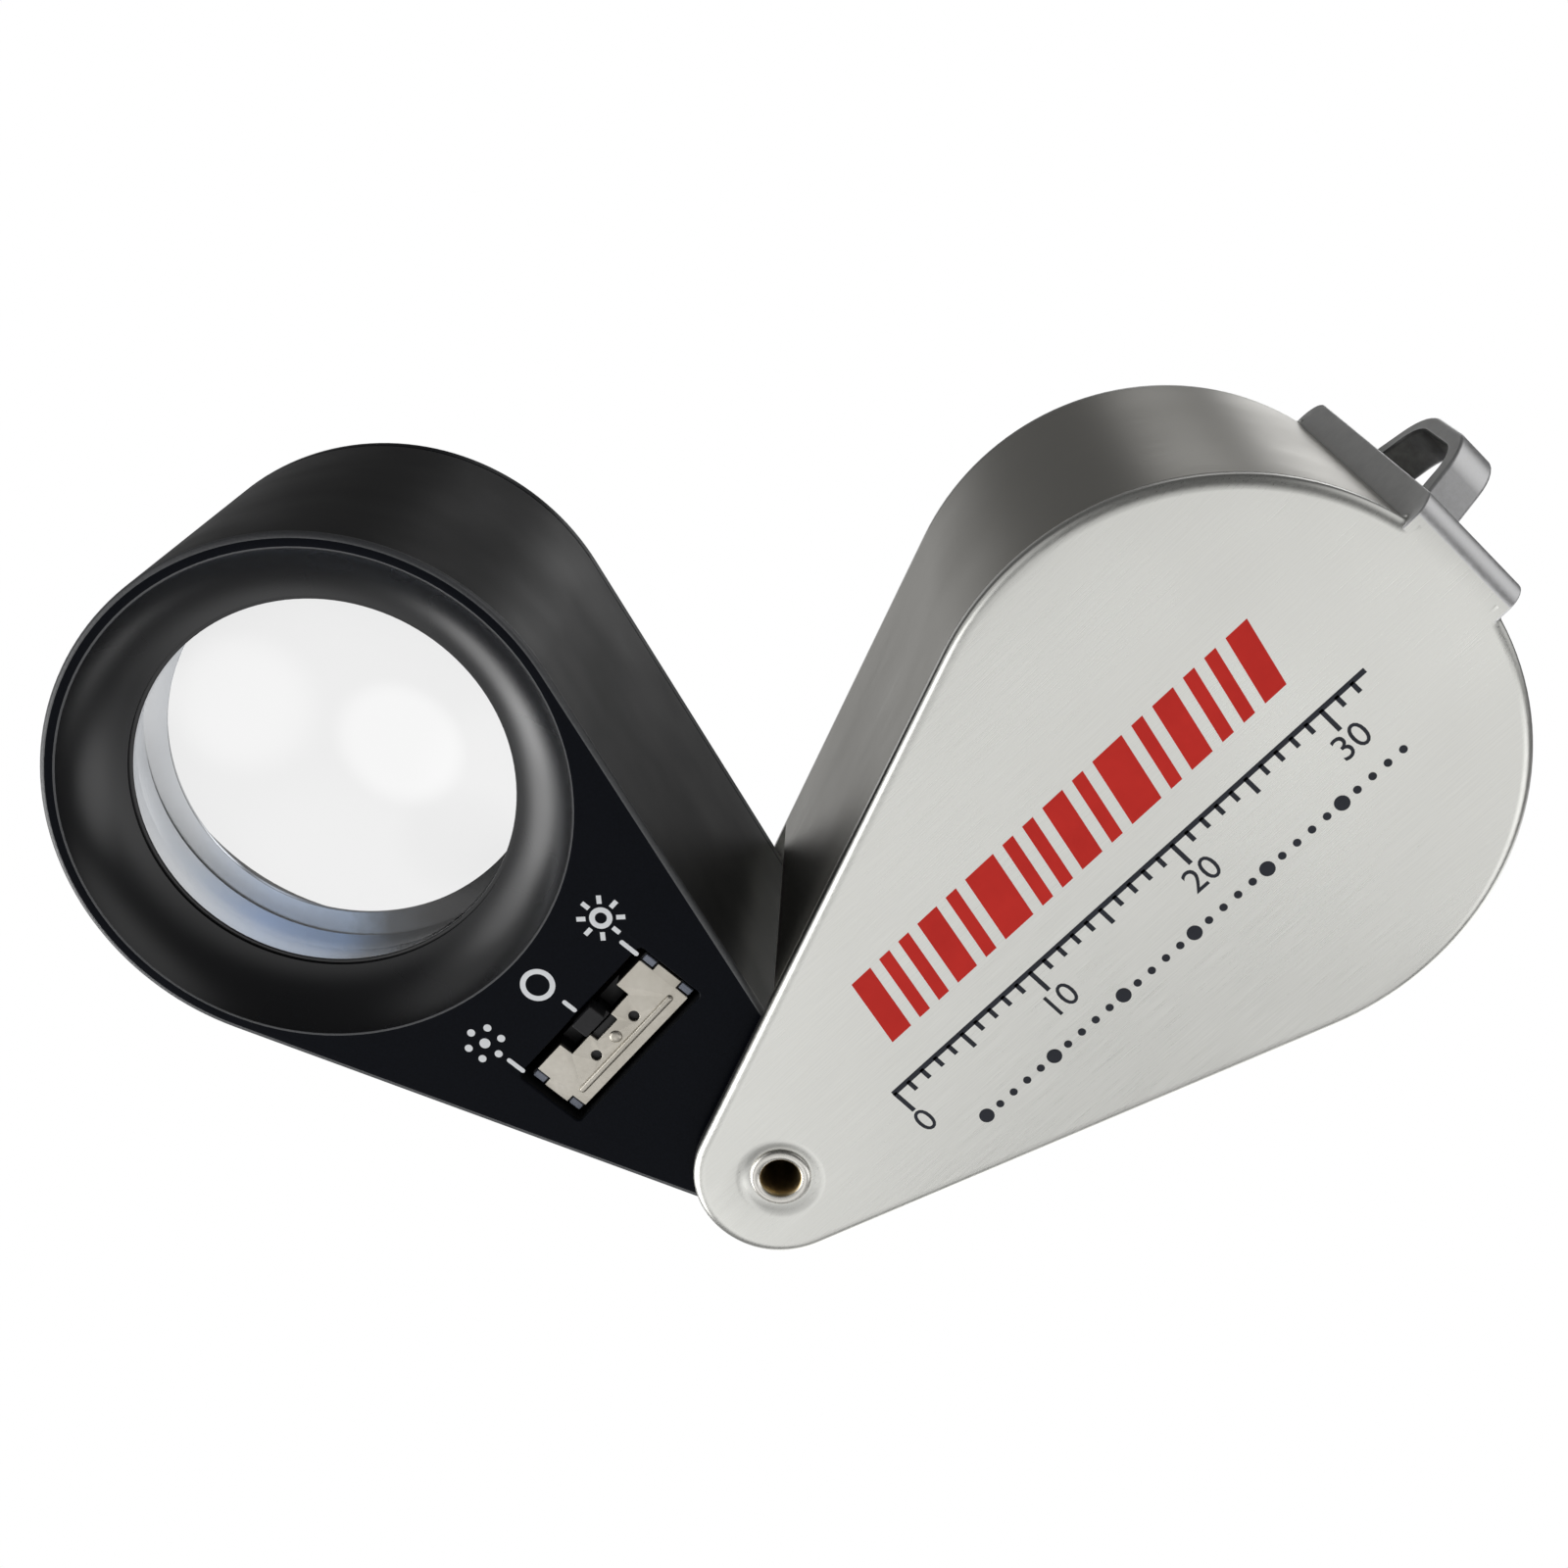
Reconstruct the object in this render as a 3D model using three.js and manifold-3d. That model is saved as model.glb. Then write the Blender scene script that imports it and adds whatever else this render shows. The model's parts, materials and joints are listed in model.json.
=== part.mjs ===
// A folding illuminated loupe: a black teardrop lens housing swings on a hollow rivet
// out of a brushed steel cover. Millimetres, +Z up. The front faces look towards -Y.
//
// Both bodies are drawn in their own frame, with the hinge axis through the origin along Y:
// +X runs from the hinge to the middle of the round end, and +Z is the side to the left of it.
import * as THREE from "three";
import { mergeVertices } from "three/addons/utils/BufferGeometryUtils.js";
import Module from "manifold-3d";

// ---------- driving dimensions ----------
const SPAN = 32.2; // hinge axis to lens axis
const COVER_ANGLE = 46.5; // degrees from +X towards +Z
const HOUSING_ANGLE = 139;

const COVER_BIG = 15.5; // outer radius of the round end
const COVER_SMALL = 4.8; // outer radius of the hinge end
const COVER_HALF = 13; // half of the thickness over both plates
const PLATE = 1.0; // sheet of the front and rear plates
const WALL = 0.7; // sheet of the side wall
const WALL_START = 9.8; // from the hinge end's tangent point, along the straight side
const WALL_END_ANGLE = 13.5; // degrees from the cover's axis, where the wall meets the strap

const STRAP_TOP = SPAN + COVER_BIG + 1.3;
const STRAP_THICK = 1.4;
const STRAP_HALF_WIDTH = 3.45;
const BAIL_RISE = 3.5; // above the strap
const BAIL_THICK = 1;
const BAIL_WIDTH = 2.5;
const BAIL_FOOT = 5.6; // half of the bail's length along the strap
const BAIL_CROWN = 3.6; // half of its flat top
const BAIL_CLEARANCE = 0.3; // between the bail and the slot it is lanced from

const RIVET_BORE = 1.1;
const RIVET_BARREL = 1.4;
const RIVET_FLANGE = 1.87;
const RIVET_HEAD = 0.25;
const PLATE_HOLE = 1.55;
const SINK_RADIUS = 2.15; // the rivet's flanges lie in a sunk ring, just below the plates' faces
const SINK_DEPTH = 0.3;
const WASHER_THICK = 0.4;
const WASHER_OUTER = 3.6;
const WASHER_GAP = 0.1;

const HOUSING_BIG = 14.3;
const HOUSING_SMALL = 3.9;
const HOUSING_HALF = 11.4;
const HOUSING_WALL = 1.5;
const REAR_COVER_THICK = 1.1;
const REAR_OPENING = 12.6;
const BUSH_INNER = 1.6;
const BUSH_OUTER = 2.2;
const BUSH_HOLE = 2.35;

const BOWL_OUTER = 13.5; // the eyecup in the front face
const BOWL_INNER = 10.8;
const BOWL_DEPTH = 2.3;
const LIP_THICK = 0.6;
const CELL_BORE = 12.6;
const CELL_OUTER = 12.3;
const CELL_INNER = 10.8;

const LENS_RADIUS = 10.5;
const LENS_APEX = -HOUSING_HALF + 1; // the front lens's highest point
const LENS_SAG = 1.7;
const TRIPLET_THICK = 14.2;
const CROWN_HALF = 6; // half of the middle lens on the axis
const CROWN_CURVE = 14; // radius of its faces
const CEMENT = 0.1;
const RING_OUTER = 10.65; // of both retaining rings
const FRONT_RING_INNER = 10.2;
const FRONT_RING_THICK = 0.3;
const REAR_RING_INNER = 9.9;
const REAR_RING_THICK = 0.6;
const RING_GAP = { front: 0.25, rear: 0.45 }; // from the lens edge

const LED_CIRCLE = 11.6;
const LED_RADIUS = 0.8;
const LED_COUNT = 6;
const LED_BOARD_Y = 7.9;
const LED_BOARD_THICK = 0.6;
const LED_BOARD_INNER = 10.9;
const LED_HEIGHT = 1.5;
const BEZEL_INNER = 10.5;
const BEZEL_OUTER = 12.45;
const BEZEL_THICK = 0.6;

const CELL_PLACE = 12.6; // hinge axis to the button cells' axis
const CELL_RADIUS = 4.75;
const CELL_THICK = 2.6;
const CELL_COUNT = 3;
const CELL_GAP = 0.1;
const CELL_RIM = 0.9; // width of the step around a cell's smaller face
const STACK_START = -1.1;
const SLEEVE_INNER = 5;
const SLEEVE_OUTER = 5.6;
const BAY = { near: 6.2, far: 17.6, front: -HOUSING_HALF + 1.6 };
const PASSAGE_HALF = 4.9; // the way for the wire from the battery bay to the lights
const SPRING_WIDE = 3.4;
const SPRING_NARROW = 1.8;
const SPRING_TURNS = 3;
const SPRING_WIRE = 0.2; // radius
const LEAD_RADIUS = 0.3;

const DOOR = { x0: 6.9, x1: 18.2, half: 5, thick: 0.7, gap: 0.2 };
const SCREW_PLACES = [[19.5, 8.2], [19.5, -8.2], [4.45, 0]];
const DOOR_SCREW_PLACE = [16.9, 4.1];
const SCREW_HEAD = 1.1;
const SCREW_HEAD_THICK = 0.4;
const SCREW_SHANK = 0.6;
const SCREW_HOLE = 0.85;
const SCREW_LENGTH = 4;
const DOOR_SCREW_LENGTH = 2.6;
const PAN_HEAD_THICK = 0.35;

const SWITCH_PLACE = [11.95, 0.25]; // centre of the switch in the housing's frame
const SWITCH_HALF = [1.7, 4.9]; // half of its size along X and Z
const SWITCH_TOP = -HOUSING_HALF + 0.45;
const POCKET_GAP = 0.3;
const POCKET_DEPTH = 4;
const FRAME_THICK = 0.25;
const BASE_THICK = 3.2;
const TONGUE_HALF = 0.75; // half width of the frame's end tongues
const CORNER_CUT = 0.55; // how far the frame's corners are cut back along Z
const FRAME_HOLE = 0.33;
const FRAME_HOLE_REACH = 1.6; // from the middle of the switch
const TERMINAL_PITCH = 2.2;
const NOTCH_HALF = 2.4;
const NOTCH_DEPTH = 0.9;
const KNOB_HALF = 0.8;
const KNOB_RISE = 0.25; // above the housing's front face
const KNOB_OVERHANG = 0.35; // past the frame's edge

const BIG_ARC = 20; // divisions of an arc
const TURN = 48; // divisions of a large turned piece
const FINE_TURN = 32;
const SMALL_TURN = 16;

const wasm = await Module();
wasm.setup();
const radians = THREE.MathUtils.degToRad;

// ---------- tools ----------
function solidOf(geometry) {
  const bare = geometry.index ? geometry.toNonIndexed() : geometry.clone();
  bare.deleteAttribute("normal");
  bare.deleteAttribute("uv");
  const merged = mergeVertices(bare, 1e-4);
  return new wasm.Manifold(
    new wasm.Mesh({
      numProp: 3,
      vertProperties: merged.attributes.position.array,
      triVerts: new Uint32Array(merged.index.array),
    }),
  );
}

function geometryOf(solid) {
  const mesh = solid.getMesh();
  const geometry = new THREE.BufferGeometry();
  geometry.setAttribute("position", new THREE.BufferAttribute(mesh.vertProperties, 3));
  geometry.setIndex(new THREE.BufferAttribute(mesh.triVerts, 1));
  const flat = geometry.toNonIndexed();
  flat.computeVertexNormals();
  return flat;
}

function cut(geometry, ...tools) {
  return geometryOf(tools.reduce((solid, tool) => solid.subtract(solidOf(tool)), solidOf(geometry)));
}

function join(geometry, ...others) {
  return geometryOf(others.reduce((solid, other) => solid.add(solidOf(other)), solidOf(geometry)));
}

// A flat outline in X and Z, made solid from y = low to y = high.
function slab(shape, low, high, curveSegments = BIG_ARC) {
  const geometry = new THREE.ExtrudeGeometry(shape, {
    depth: high - low,
    bevelEnabled: false,
    curveSegments,
  });
  return geometry.rotateX(Math.PI / 2).translate(0, high, 0);
}

// A closed profile of [radius, y] points turned about the Y axis through x = at.
function turned(profile, at = 0, segments = FINE_TURN, z = 0) {
  const points = profile.map(([radius, y]) => new THREE.Vector2(radius, y));
  return new THREE.LatheGeometry(points, segments).translate(at, 0, z);
}

function disc(radius, low, high, at = 0, segments = FINE_TURN, z = 0) {
  return turned([[0, low], [radius, low], [radius, high], [0, high]], at, segments, z);
}

function ring(inner, outer, low, high, at = 0, segments = FINE_TURN) {
  const profile = [[inner, low], [outer, low], [outer, high], [inner, high], [inner, low]];
  return turned(profile, at, segments);
}

function rectangle(x0, x1, z0, z1) {
  const shape = new THREE.Shape();
  shape.moveTo(x0, z0);
  shape.lineTo(x1, z0);
  shape.lineTo(x1, z1);
  shape.lineTo(x0, z1);
  shape.closePath();
  return shape;
}

function block(x0, x1, y0, y1, z0, z1) {
  return slab(rectangle(x0, x1, z0, z1), y0, y1);
}

function roundHole(shape, x, z, radius) {
  const hole = new THREE.Path();
  hole.absarc(x, z, radius, 0, 2 * Math.PI, true);
  shape.holes.push(hole);
  return shape;
}

// Angle from +X to the point where the straight side leaves either end's circle.
function tangentAngle(big, small) {
  return Math.PI / 2 + Math.asin((big - small) / SPAN);
}

function teardrop(big, small) {
  const turn = tangentAngle(big, small);
  const shape = new THREE.Shape();
  shape.absarc(SPAN, 0, big, -turn, turn, false);
  shape.absarc(0, 0, small, turn, 2 * Math.PI - turn, false);
  return shape;
}

// Points of a spherical cap's profile from the axis out, or from the edge in.
function cap(apex, curve, radius, outwards) {
  const steps = 5;
  const side = Math.sign(curve);
  const bend = Math.abs(curve);
  const points = Array.from({ length: steps + 1 }, (_, i) => {
    const r = (radius * i) / steps;
    return [r, apex + side * (bend - Math.sqrt(bend * bend - r * r))];
  });
  return outwards ? points : points.reverse();
}

// ---------- materials ----------
const steel = { color: 0xc9c8c2, roughness: 0.35, metalness: 1 };
const black = { color: 0x15171c, roughness: 0.45, metalness: 0.4 };
const blackPlastic = { color: 0x101114, roughness: 0.5, metalness: 0 };
const brass = { color: 0xb8924a, roughness: 0.35, metalness: 1 };
const nickel = { color: 0xcfcabb, roughness: 0.3, metalness: 1 };
const glass = { color: 0xeef4fa, roughness: 0.02, metalness: 0, transparent: true, opacity: 0.4 };
const board = { color: 0x1d5a35, roughness: 0.6, metalness: 0 };
const lensPlastic = { color: 0xf2f2ea, roughness: 0.1, metalness: 0 };
const uvPlastic = { color: 0xb9a8e8, roughness: 0.1, metalness: 0 };
const red = { color: 0xb02020, roughness: 0.5, metalness: 0 };

const loupe = new THREE.Group();
const cover = new THREE.Group();
const housing = new THREE.Group();
loupe.add(cover, housing);

function piece(group, name, geometry, look) {
  const mesh = new THREE.Mesh(geometry, new THREE.MeshStandardMaterial(look));
  mesh.name = name;
  group.add(mesh);
}

// ---------- cover: plates, wall, strap and bail ----------
const coverInner = COVER_HALF - PLATE;

// The plate's round end carries a square tab where the end strap is folded from it.
function coverPlate(low, high) {
  const turn = tangentAngle(COVER_BIG, COVER_SMALL);
  const tab = Math.asin(STRAP_HALF_WIDTH / COVER_BIG);
  const shape = new THREE.Shape();
  shape.absarc(SPAN, 0, COVER_BIG, -turn, -tab, false);
  shape.lineTo(STRAP_TOP, -STRAP_HALF_WIDTH);
  shape.lineTo(STRAP_TOP, STRAP_HALF_WIDTH);
  shape.absarc(SPAN, 0, COVER_BIG, tab, turn, false);
  shape.absarc(0, 0, COVER_SMALL, turn, 2 * Math.PI - turn, false);
  const sinks = [
    disc(SINK_RADIUS, -COVER_HALF - 1, SINK_DEPTH - COVER_HALF),
    disc(SINK_RADIUS, COVER_HALF - SINK_DEPTH, COVER_HALF + 1),
  ];
  return cut(slab(roundHole(shape, 0, 0, PLATE_HOLE), low, high), ...sinks);
}

piece(cover, "cover_front_plate", coverPlate(-COVER_HALF, -coverInner), steel);
piece(cover, "cover_rear_plate", coverPlate(coverInner, COVER_HALF), steel);

function sideWall() {
  const turn = tangentAngle(COVER_BIG, COVER_SMALL);
  const end = radians(WALL_END_ANGLE);
  const along = new THREE.Vector2(Math.sin(turn), -Math.cos(turn));
  const out = new THREE.Vector2(Math.cos(turn), Math.sin(turn));
  const start = (radius) => along.clone().multiplyScalar(WALL_START).addScaledVector(out, radius);
  const outside = start(COVER_SMALL);
  const inside = start(COVER_SMALL - WALL);
  const shape = new THREE.Shape();
  shape.moveTo(outside.x, outside.y);
  shape.absarc(SPAN, 0, COVER_BIG, turn, end, true);
  shape.absarc(SPAN, 0, COVER_BIG - WALL, end, turn, false);
  shape.lineTo(inside.x, inside.y);
  shape.closePath();
  return slab(shape, -coverInner, coverInner);
}

piece(cover, "cover_side_wall", sideWall(), steel);

const slotHalf = BAIL_WIDTH / 2 + BAIL_CLEARANCE;
const slotReach = BAIL_FOOT + BAIL_CLEARANCE;
const strapBody = block(
  STRAP_TOP - STRAP_THICK, STRAP_TOP, -coverInner, coverInner, -STRAP_HALF_WIDTH, STRAP_HALF_WIDTH,
);
const strapSlot = block(
  STRAP_TOP - 2 * STRAP_THICK, STRAP_TOP + 1, -slotReach, slotReach, -slotHalf, slotHalf,
);
piece(cover, "end_strap", cut(strapBody, strapSlot), steel);

function bail() {
  const foot = STRAP_TOP - STRAP_THICK + BAIL_CLEARANCE;
  const shoulder = STRAP_TOP - 0.1;
  const crown = STRAP_TOP + BAIL_RISE;
  const innerCrown = BAIL_CROWN - BAIL_THICK / 3;
  const shape = new THREE.Shape();
  shape.moveTo(foot, -BAIL_FOOT);
  shape.lineTo(shoulder, -BAIL_FOOT);
  shape.lineTo(crown, -BAIL_CROWN);
  shape.lineTo(crown, BAIL_CROWN);
  shape.lineTo(shoulder, BAIL_FOOT);
  shape.lineTo(foot, BAIL_FOOT);
  shape.lineTo(foot, BAIL_FOOT - BAIL_THICK);
  shape.lineTo(crown - BAIL_THICK, innerCrown);
  shape.lineTo(crown - BAIL_THICK, -innerCrown);
  shape.lineTo(foot, BAIL_THICK - BAIL_FOOT);
  shape.closePath();
  const options = { depth: BAIL_WIDTH, bevelEnabled: false };
  return new THREE.ExtrudeGeometry(shape, options).translate(0, 0, -BAIL_WIDTH / 2);
}

piece(cover, "lanyard_bail", bail(), steel);

// ---------- hinge ----------
const flangeSeat = COVER_HALF - SINK_DEPTH;
const rivetEnd = flangeSeat + RIVET_HEAD;
const rivetProfile = [
  [RIVET_BORE, -rivetEnd],
  [RIVET_FLANGE, -rivetEnd],
  [RIVET_FLANGE, -flangeSeat],
  [RIVET_BARREL, -flangeSeat],
  [RIVET_BARREL, flangeSeat],
  [RIVET_FLANGE, flangeSeat],
  [RIVET_FLANGE, rivetEnd],
  [RIVET_BORE, rivetEnd],
  [RIVET_BORE, -rivetEnd],
];
piece(cover, "hinge_rivet", turned(rivetProfile), brass);

const washerLow = HOUSING_HALF + WASHER_GAP;
const washerHigh = washerLow + WASHER_THICK;
piece(cover, "front_friction_washer", ring(PLATE_HOLE, WASHER_OUTER, -washerHigh, -washerLow), nickel);
piece(cover, "rear_friction_washer", ring(PLATE_HOLE, WASHER_OUTER, washerLow, washerHigh), nickel);
piece(housing, "hinge_bush", ring(BUSH_INNER, BUSH_OUTER, -HOUSING_HALF, HOUSING_HALF), brass);

// ---------- lens housing ----------
const coverSeat = HOUSING_HALF - REAR_COVER_THICK; // where the rear cover lies on the housing
const lipFront = -HOUSING_HALF + BOWL_DEPTH;
const lipBack = lipFront + LIP_THICK;

// The bowl sinks along a quarter of an ellipse from the front face to the lens.
function boreTool() {
  const steps = 6;
  const bowl = Array.from({ length: steps + 1 }, (_, i) => {
    const turn = (Math.PI / 2) * (i / steps);
    const radius = BOWL_OUTER - (BOWL_OUTER - BOWL_INNER) * (1 - Math.cos(turn));
    return [radius, -HOUSING_HALF + BOWL_DEPTH * Math.sin(turn)];
  });
  const above = -HOUSING_HALF - 1;
  const profile = [
    [0, above],
    [BOWL_OUTER, above],
    ...bowl,
    [BOWL_INNER, lipBack],
    [CELL_BORE, lipBack],
    [CELL_BORE, HOUSING_HALF],
    [0, HOUSING_HALF],
  ];
  return turned(profile, SPAN, TURN);
}

const sleeveEnd = coverSeat - 1.9;

function batteryBay() {
  const slope = (HOUSING_BIG - HOUSING_SMALL) / SPAN;
  const halfWidth = (x) => (HOUSING_SMALL - HOUSING_WALL + slope * x) / Math.sqrt(1 - slope * slope);
  const { near, far, front } = BAY;
  const shape = new THREE.Shape();
  shape.moveTo(near, -halfWidth(near));
  shape.lineTo(far, -halfWidth(far));
  shape.lineTo(far, halfWidth(far));
  shape.lineTo(near, halfWidth(near));
  shape.closePath();
  const passage = block(far - 1, far + 4, -5, sleeveEnd + 0.3, -PASSAGE_HALF, PASSAGE_HALF);
  return join(slab(shape, front, HOUSING_HALF), passage);
}

const [switchX, switchZ] = SWITCH_PLACE;
const [switchHalfX, switchHalfZ] = SWITCH_HALF;
const switchPocket = block(
  switchX - switchHalfX - POCKET_GAP,
  switchX + switchHalfX + 2 * POCKET_GAP,
  -HOUSING_HALF - 1,
  -HOUSING_HALF + POCKET_DEPTH,
  switchZ - switchHalfZ - POCKET_GAP,
  switchZ + switchHalfZ + POCKET_GAP,
);
const screwHoles = SCREW_PLACES.map(([x, z]) =>
  disc(SCREW_HOLE, coverSeat - SCREW_LENGTH, HOUSING_HALF + 1, x, SMALL_TURN, z),
);
const bushHole = disc(BUSH_HOLE, -HOUSING_HALF - 1, HOUSING_HALF + 1);
const housingBody = slab(teardrop(HOUSING_BIG, HOUSING_SMALL), -HOUSING_HALF, coverSeat);
piece(
  housing,
  "lens_housing",
  cut(housingBody, boreTool(), batteryBay(), switchPocket, bushHole, ...screwHoles),
  black,
);

// ---------- rear cover, battery door and screws ----------
const doorSeat = HOUSING_HALF - 0.8;

function rearCover() {
  const outline = teardrop(HOUSING_BIG, HOUSING_SMALL);
  roundHole(outline, SPAN, 0, REAR_OPENING);
  roundHole(outline, CELL_PLACE, 0, CELL_RADIUS + 0.35);
  roundHole(outline, 0, 0, BUSH_HOLE);
  SCREW_PLACES.forEach(([x, z]) => roundHole(outline, x, z, SCREW_HOLE));
  roundHole(outline, ...DOOR_SCREW_PLACE, SCREW_HOLE);
  const side = DOOR.half + DOOR.gap;
  const recess = block(DOOR.x0 - DOOR.gap, DOOR.x1 + DOOR.gap, doorSeat, HOUSING_HALF + 1, -side, side);
  const sinks = SCREW_PLACES.map(([x, z]) =>
    disc(SCREW_HEAD + 0.15, HOUSING_HALF - 0.6, HOUSING_HALF + 1, x, SMALL_TURN, z),
  );
  return cut(slab(outline, coverSeat, HOUSING_HALF, 16), recess, ...sinks);
}

piece(housing, "rear_cover", rearCover(), black);

const doorBlank = block(DOOR.x0, DOOR.x1, doorSeat, doorSeat + DOOR.thick, -DOOR.half, DOOR.half);
const [doorScrewX, doorScrewZ] = DOOR_SCREW_PLACE;
const doorHole = disc(SCREW_HOLE, coverSeat, HOUSING_HALF + 1, doorScrewX, SMALL_TURN, doorScrewZ);
piece(housing, "battery_door", cut(doorBlank, doorHole), black);

function screw(x, z, top, length) {
  const profile = [
    [0, top - length],
    [SCREW_SHANK, top - length],
    [SCREW_SHANK, top - SCREW_HEAD_THICK - 0.05],
    [SCREW_HEAD, top - SCREW_HEAD_THICK],
    [SCREW_HEAD, top],
    [0, top],
  ];
  return turned(profile, x, SMALL_TURN, z);
}

SCREW_PLACES.forEach(([x, z], i) =>
  piece(housing, `rear_cover_screw_${i + 1}`, screw(x, z, HOUSING_HALF - 0.05, SCREW_LENGTH), nickel),
);

// The door's screw has a small pan head that stands on the door.
const doorTop = doorSeat + DOOR.thick;
const doorScrewProfile = [
  [0, doorTop - DOOR_SCREW_LENGTH],
  [SCREW_SHANK, doorTop - DOOR_SCREW_LENGTH],
  [SCREW_SHANK, doorTop],
  [SCREW_HEAD, doorTop],
  [SCREW_HEAD, doorTop + PAN_HEAD_THICK],
  [0, doorTop + PAN_HEAD_THICK],
];
piece(
  housing,
  "battery_door_screw",
  turned(doorScrewProfile, doorScrewX, SMALL_TURN, doorScrewZ),
  nickel,
);

// ---------- lens cell and triplet ----------
const tripletRear = LENS_APEX + TRIPLET_THICK;
const tripletMiddle = (LENS_APEX + tripletRear) / 2;
const lensEdge = LENS_APEX + LENS_SAG;
const outerCurve = (LENS_RADIUS ** 2 + LENS_SAG ** 2) / (2 * LENS_SAG);

piece(housing, "lens_cell", ring(CELL_INNER, CELL_OUTER, lipBack + 0.2, LED_BOARD_Y - 0.3, SPAN), black);
const frontRingHigh = lensEdge - RING_GAP.front;
const frontRing = ring(
  FRONT_RING_INNER, RING_OUTER, frontRingHigh - FRONT_RING_THICK, frontRingHigh, SPAN, TURN,
);
piece(housing, "front_retaining_ring", frontRing, black);
const rearRingLow = tripletRear - LENS_SAG + RING_GAP.rear;
const rearRing = ring(REAR_RING_INNER, RING_OUTER, rearRingLow, rearRingLow + REAR_RING_THICK, SPAN);
piece(housing, "rear_retaining_ring", rearRing, black);

const frontLens = [
  ...cap(LENS_APEX, outerCurve, LENS_RADIUS, true),
  ...cap(tripletMiddle - CROWN_HALF - CEMENT, CROWN_CURVE, LENS_RADIUS, false),
];
const middleLens = [
  ...cap(tripletMiddle - CROWN_HALF, CROWN_CURVE, LENS_RADIUS, true),
  ...cap(tripletMiddle + CROWN_HALF, -CROWN_CURVE, LENS_RADIUS, false),
];
const rearLens = [
  ...cap(tripletMiddle + CROWN_HALF + CEMENT, -CROWN_CURVE, LENS_RADIUS, true),
  ...cap(tripletRear, -outerCurve, LENS_RADIUS, false),
];
piece(housing, "front_lens", turned(frontLens, SPAN), glass);
piece(housing, "middle_lens", turned(middleLens, SPAN), glass);
piece(housing, "rear_lens", turned(rearLens, SPAN), glass);

// ---------- lights around the rear of the lens ----------
const boardTop = LED_BOARD_Y + LED_BOARD_THICK;
const ledPlaces = Array.from({ length: LED_COUNT }, (_, i) => {
  const turn = (2 * Math.PI * (i + 0.5)) / LED_COUNT;
  return [SPAN + LED_CIRCLE * Math.cos(turn), LED_CIRCLE * Math.sin(turn)];
});
piece(housing, "led_board", ring(LED_BOARD_INNER, CELL_OUTER, LED_BOARD_Y, boardTop, SPAN), board);

const bezelHoles = ledPlaces.map(([x, z]) =>
  disc(LED_RADIUS + 0.15, boardTop, boardTop + 2, x, SMALL_TURN, z),
);
const bezelLow = boardTop + 0.2;
const bezelRing = ring(BEZEL_INNER, BEZEL_OUTER, bezelLow, bezelLow + BEZEL_THICK, SPAN);
piece(housing, "led_bezel", cut(bezelRing, ...bezelHoles), blackPlastic);

ledPlaces.forEach(([x, z], i) => {
  const profile = [
    [0, boardTop],
    [LED_RADIUS, boardTop],
    [LED_RADIUS, boardTop + 0.55 * LED_HEIGHT],
    [LED_RADIUS * 0.7, boardTop + 0.85 * LED_HEIGHT],
    [0, boardTop + LED_HEIGHT],
  ];
  const kind = i % 2 ? "uv_led" : "white_led";
  const look = i % 2 ? uvPlastic : lensPlastic;
  piece(housing, `${kind}_${Math.floor(i / 2) + 1}`, turned(profile, x, SMALL_TURN, z), look);
});

// ---------- batteries ----------
const sleeve = ring(SLEEVE_INNER, SLEEVE_OUTER, STACK_START - 0.9, sleeveEnd, CELL_PLACE);
piece(housing, "battery_sleeve", sleeve, blackPlastic);
for (let i = 0; i < CELL_COUNT; i++) {
  const low = STACK_START + i * (CELL_THICK + CELL_GAP);
  const profile = [
    [0, low],
    [CELL_RADIUS - CELL_RIM, low],
    [CELL_RADIUS - CELL_RIM, low + 0.25],
    [CELL_RADIUS, low + 0.4],
    [CELL_RADIUS, low + CELL_THICK],
    [0, low + CELL_THICK],
  ];
  piece(housing, `button_cell_${i + 1}`, turned(profile, CELL_PLACE), nickel);
}
const stackEnd = STACK_START + CELL_COUNT * (CELL_THICK + CELL_GAP);
const contact = disc(CELL_RADIUS - 0.55, STACK_START - 0.5, STACK_START - 0.2, CELL_PLACE);
piece(housing, "battery_contact", contact, brass);

class Helix extends THREE.Curve {
  getPoint(t, target = new THREE.Vector3()) {
    const turn = 2 * Math.PI * SPRING_TURNS * t;
    const radius = SPRING_WIDE + (SPRING_NARROW - SPRING_WIDE) * t;
    const low = stackEnd + 0.3;
    const high = doorSeat - 0.35;
    const y = low + (high - low) * t;
    return target.set(CELL_PLACE + radius * Math.cos(turn), y, radius * Math.sin(turn));
  }
}

function wire(path, radius, steps) {
  const section = new THREE.Shape();
  section.absarc(0, 0, radius, 0, 2 * Math.PI, false);
  return new THREE.ExtrudeGeometry(section, { extrudePath: path, steps, curveSegments: 4 });
}

piece(housing, "battery_spring", wire(new Helix(), SPRING_WIRE, 18 * SPRING_TURNS), nickel);

// ---------- slide switch ----------
const frameLow = SWITCH_TOP;
const frameHigh = SWITCH_TOP + FRAME_THICK;
const baseHigh = frameHigh + BASE_THICK;

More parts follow.
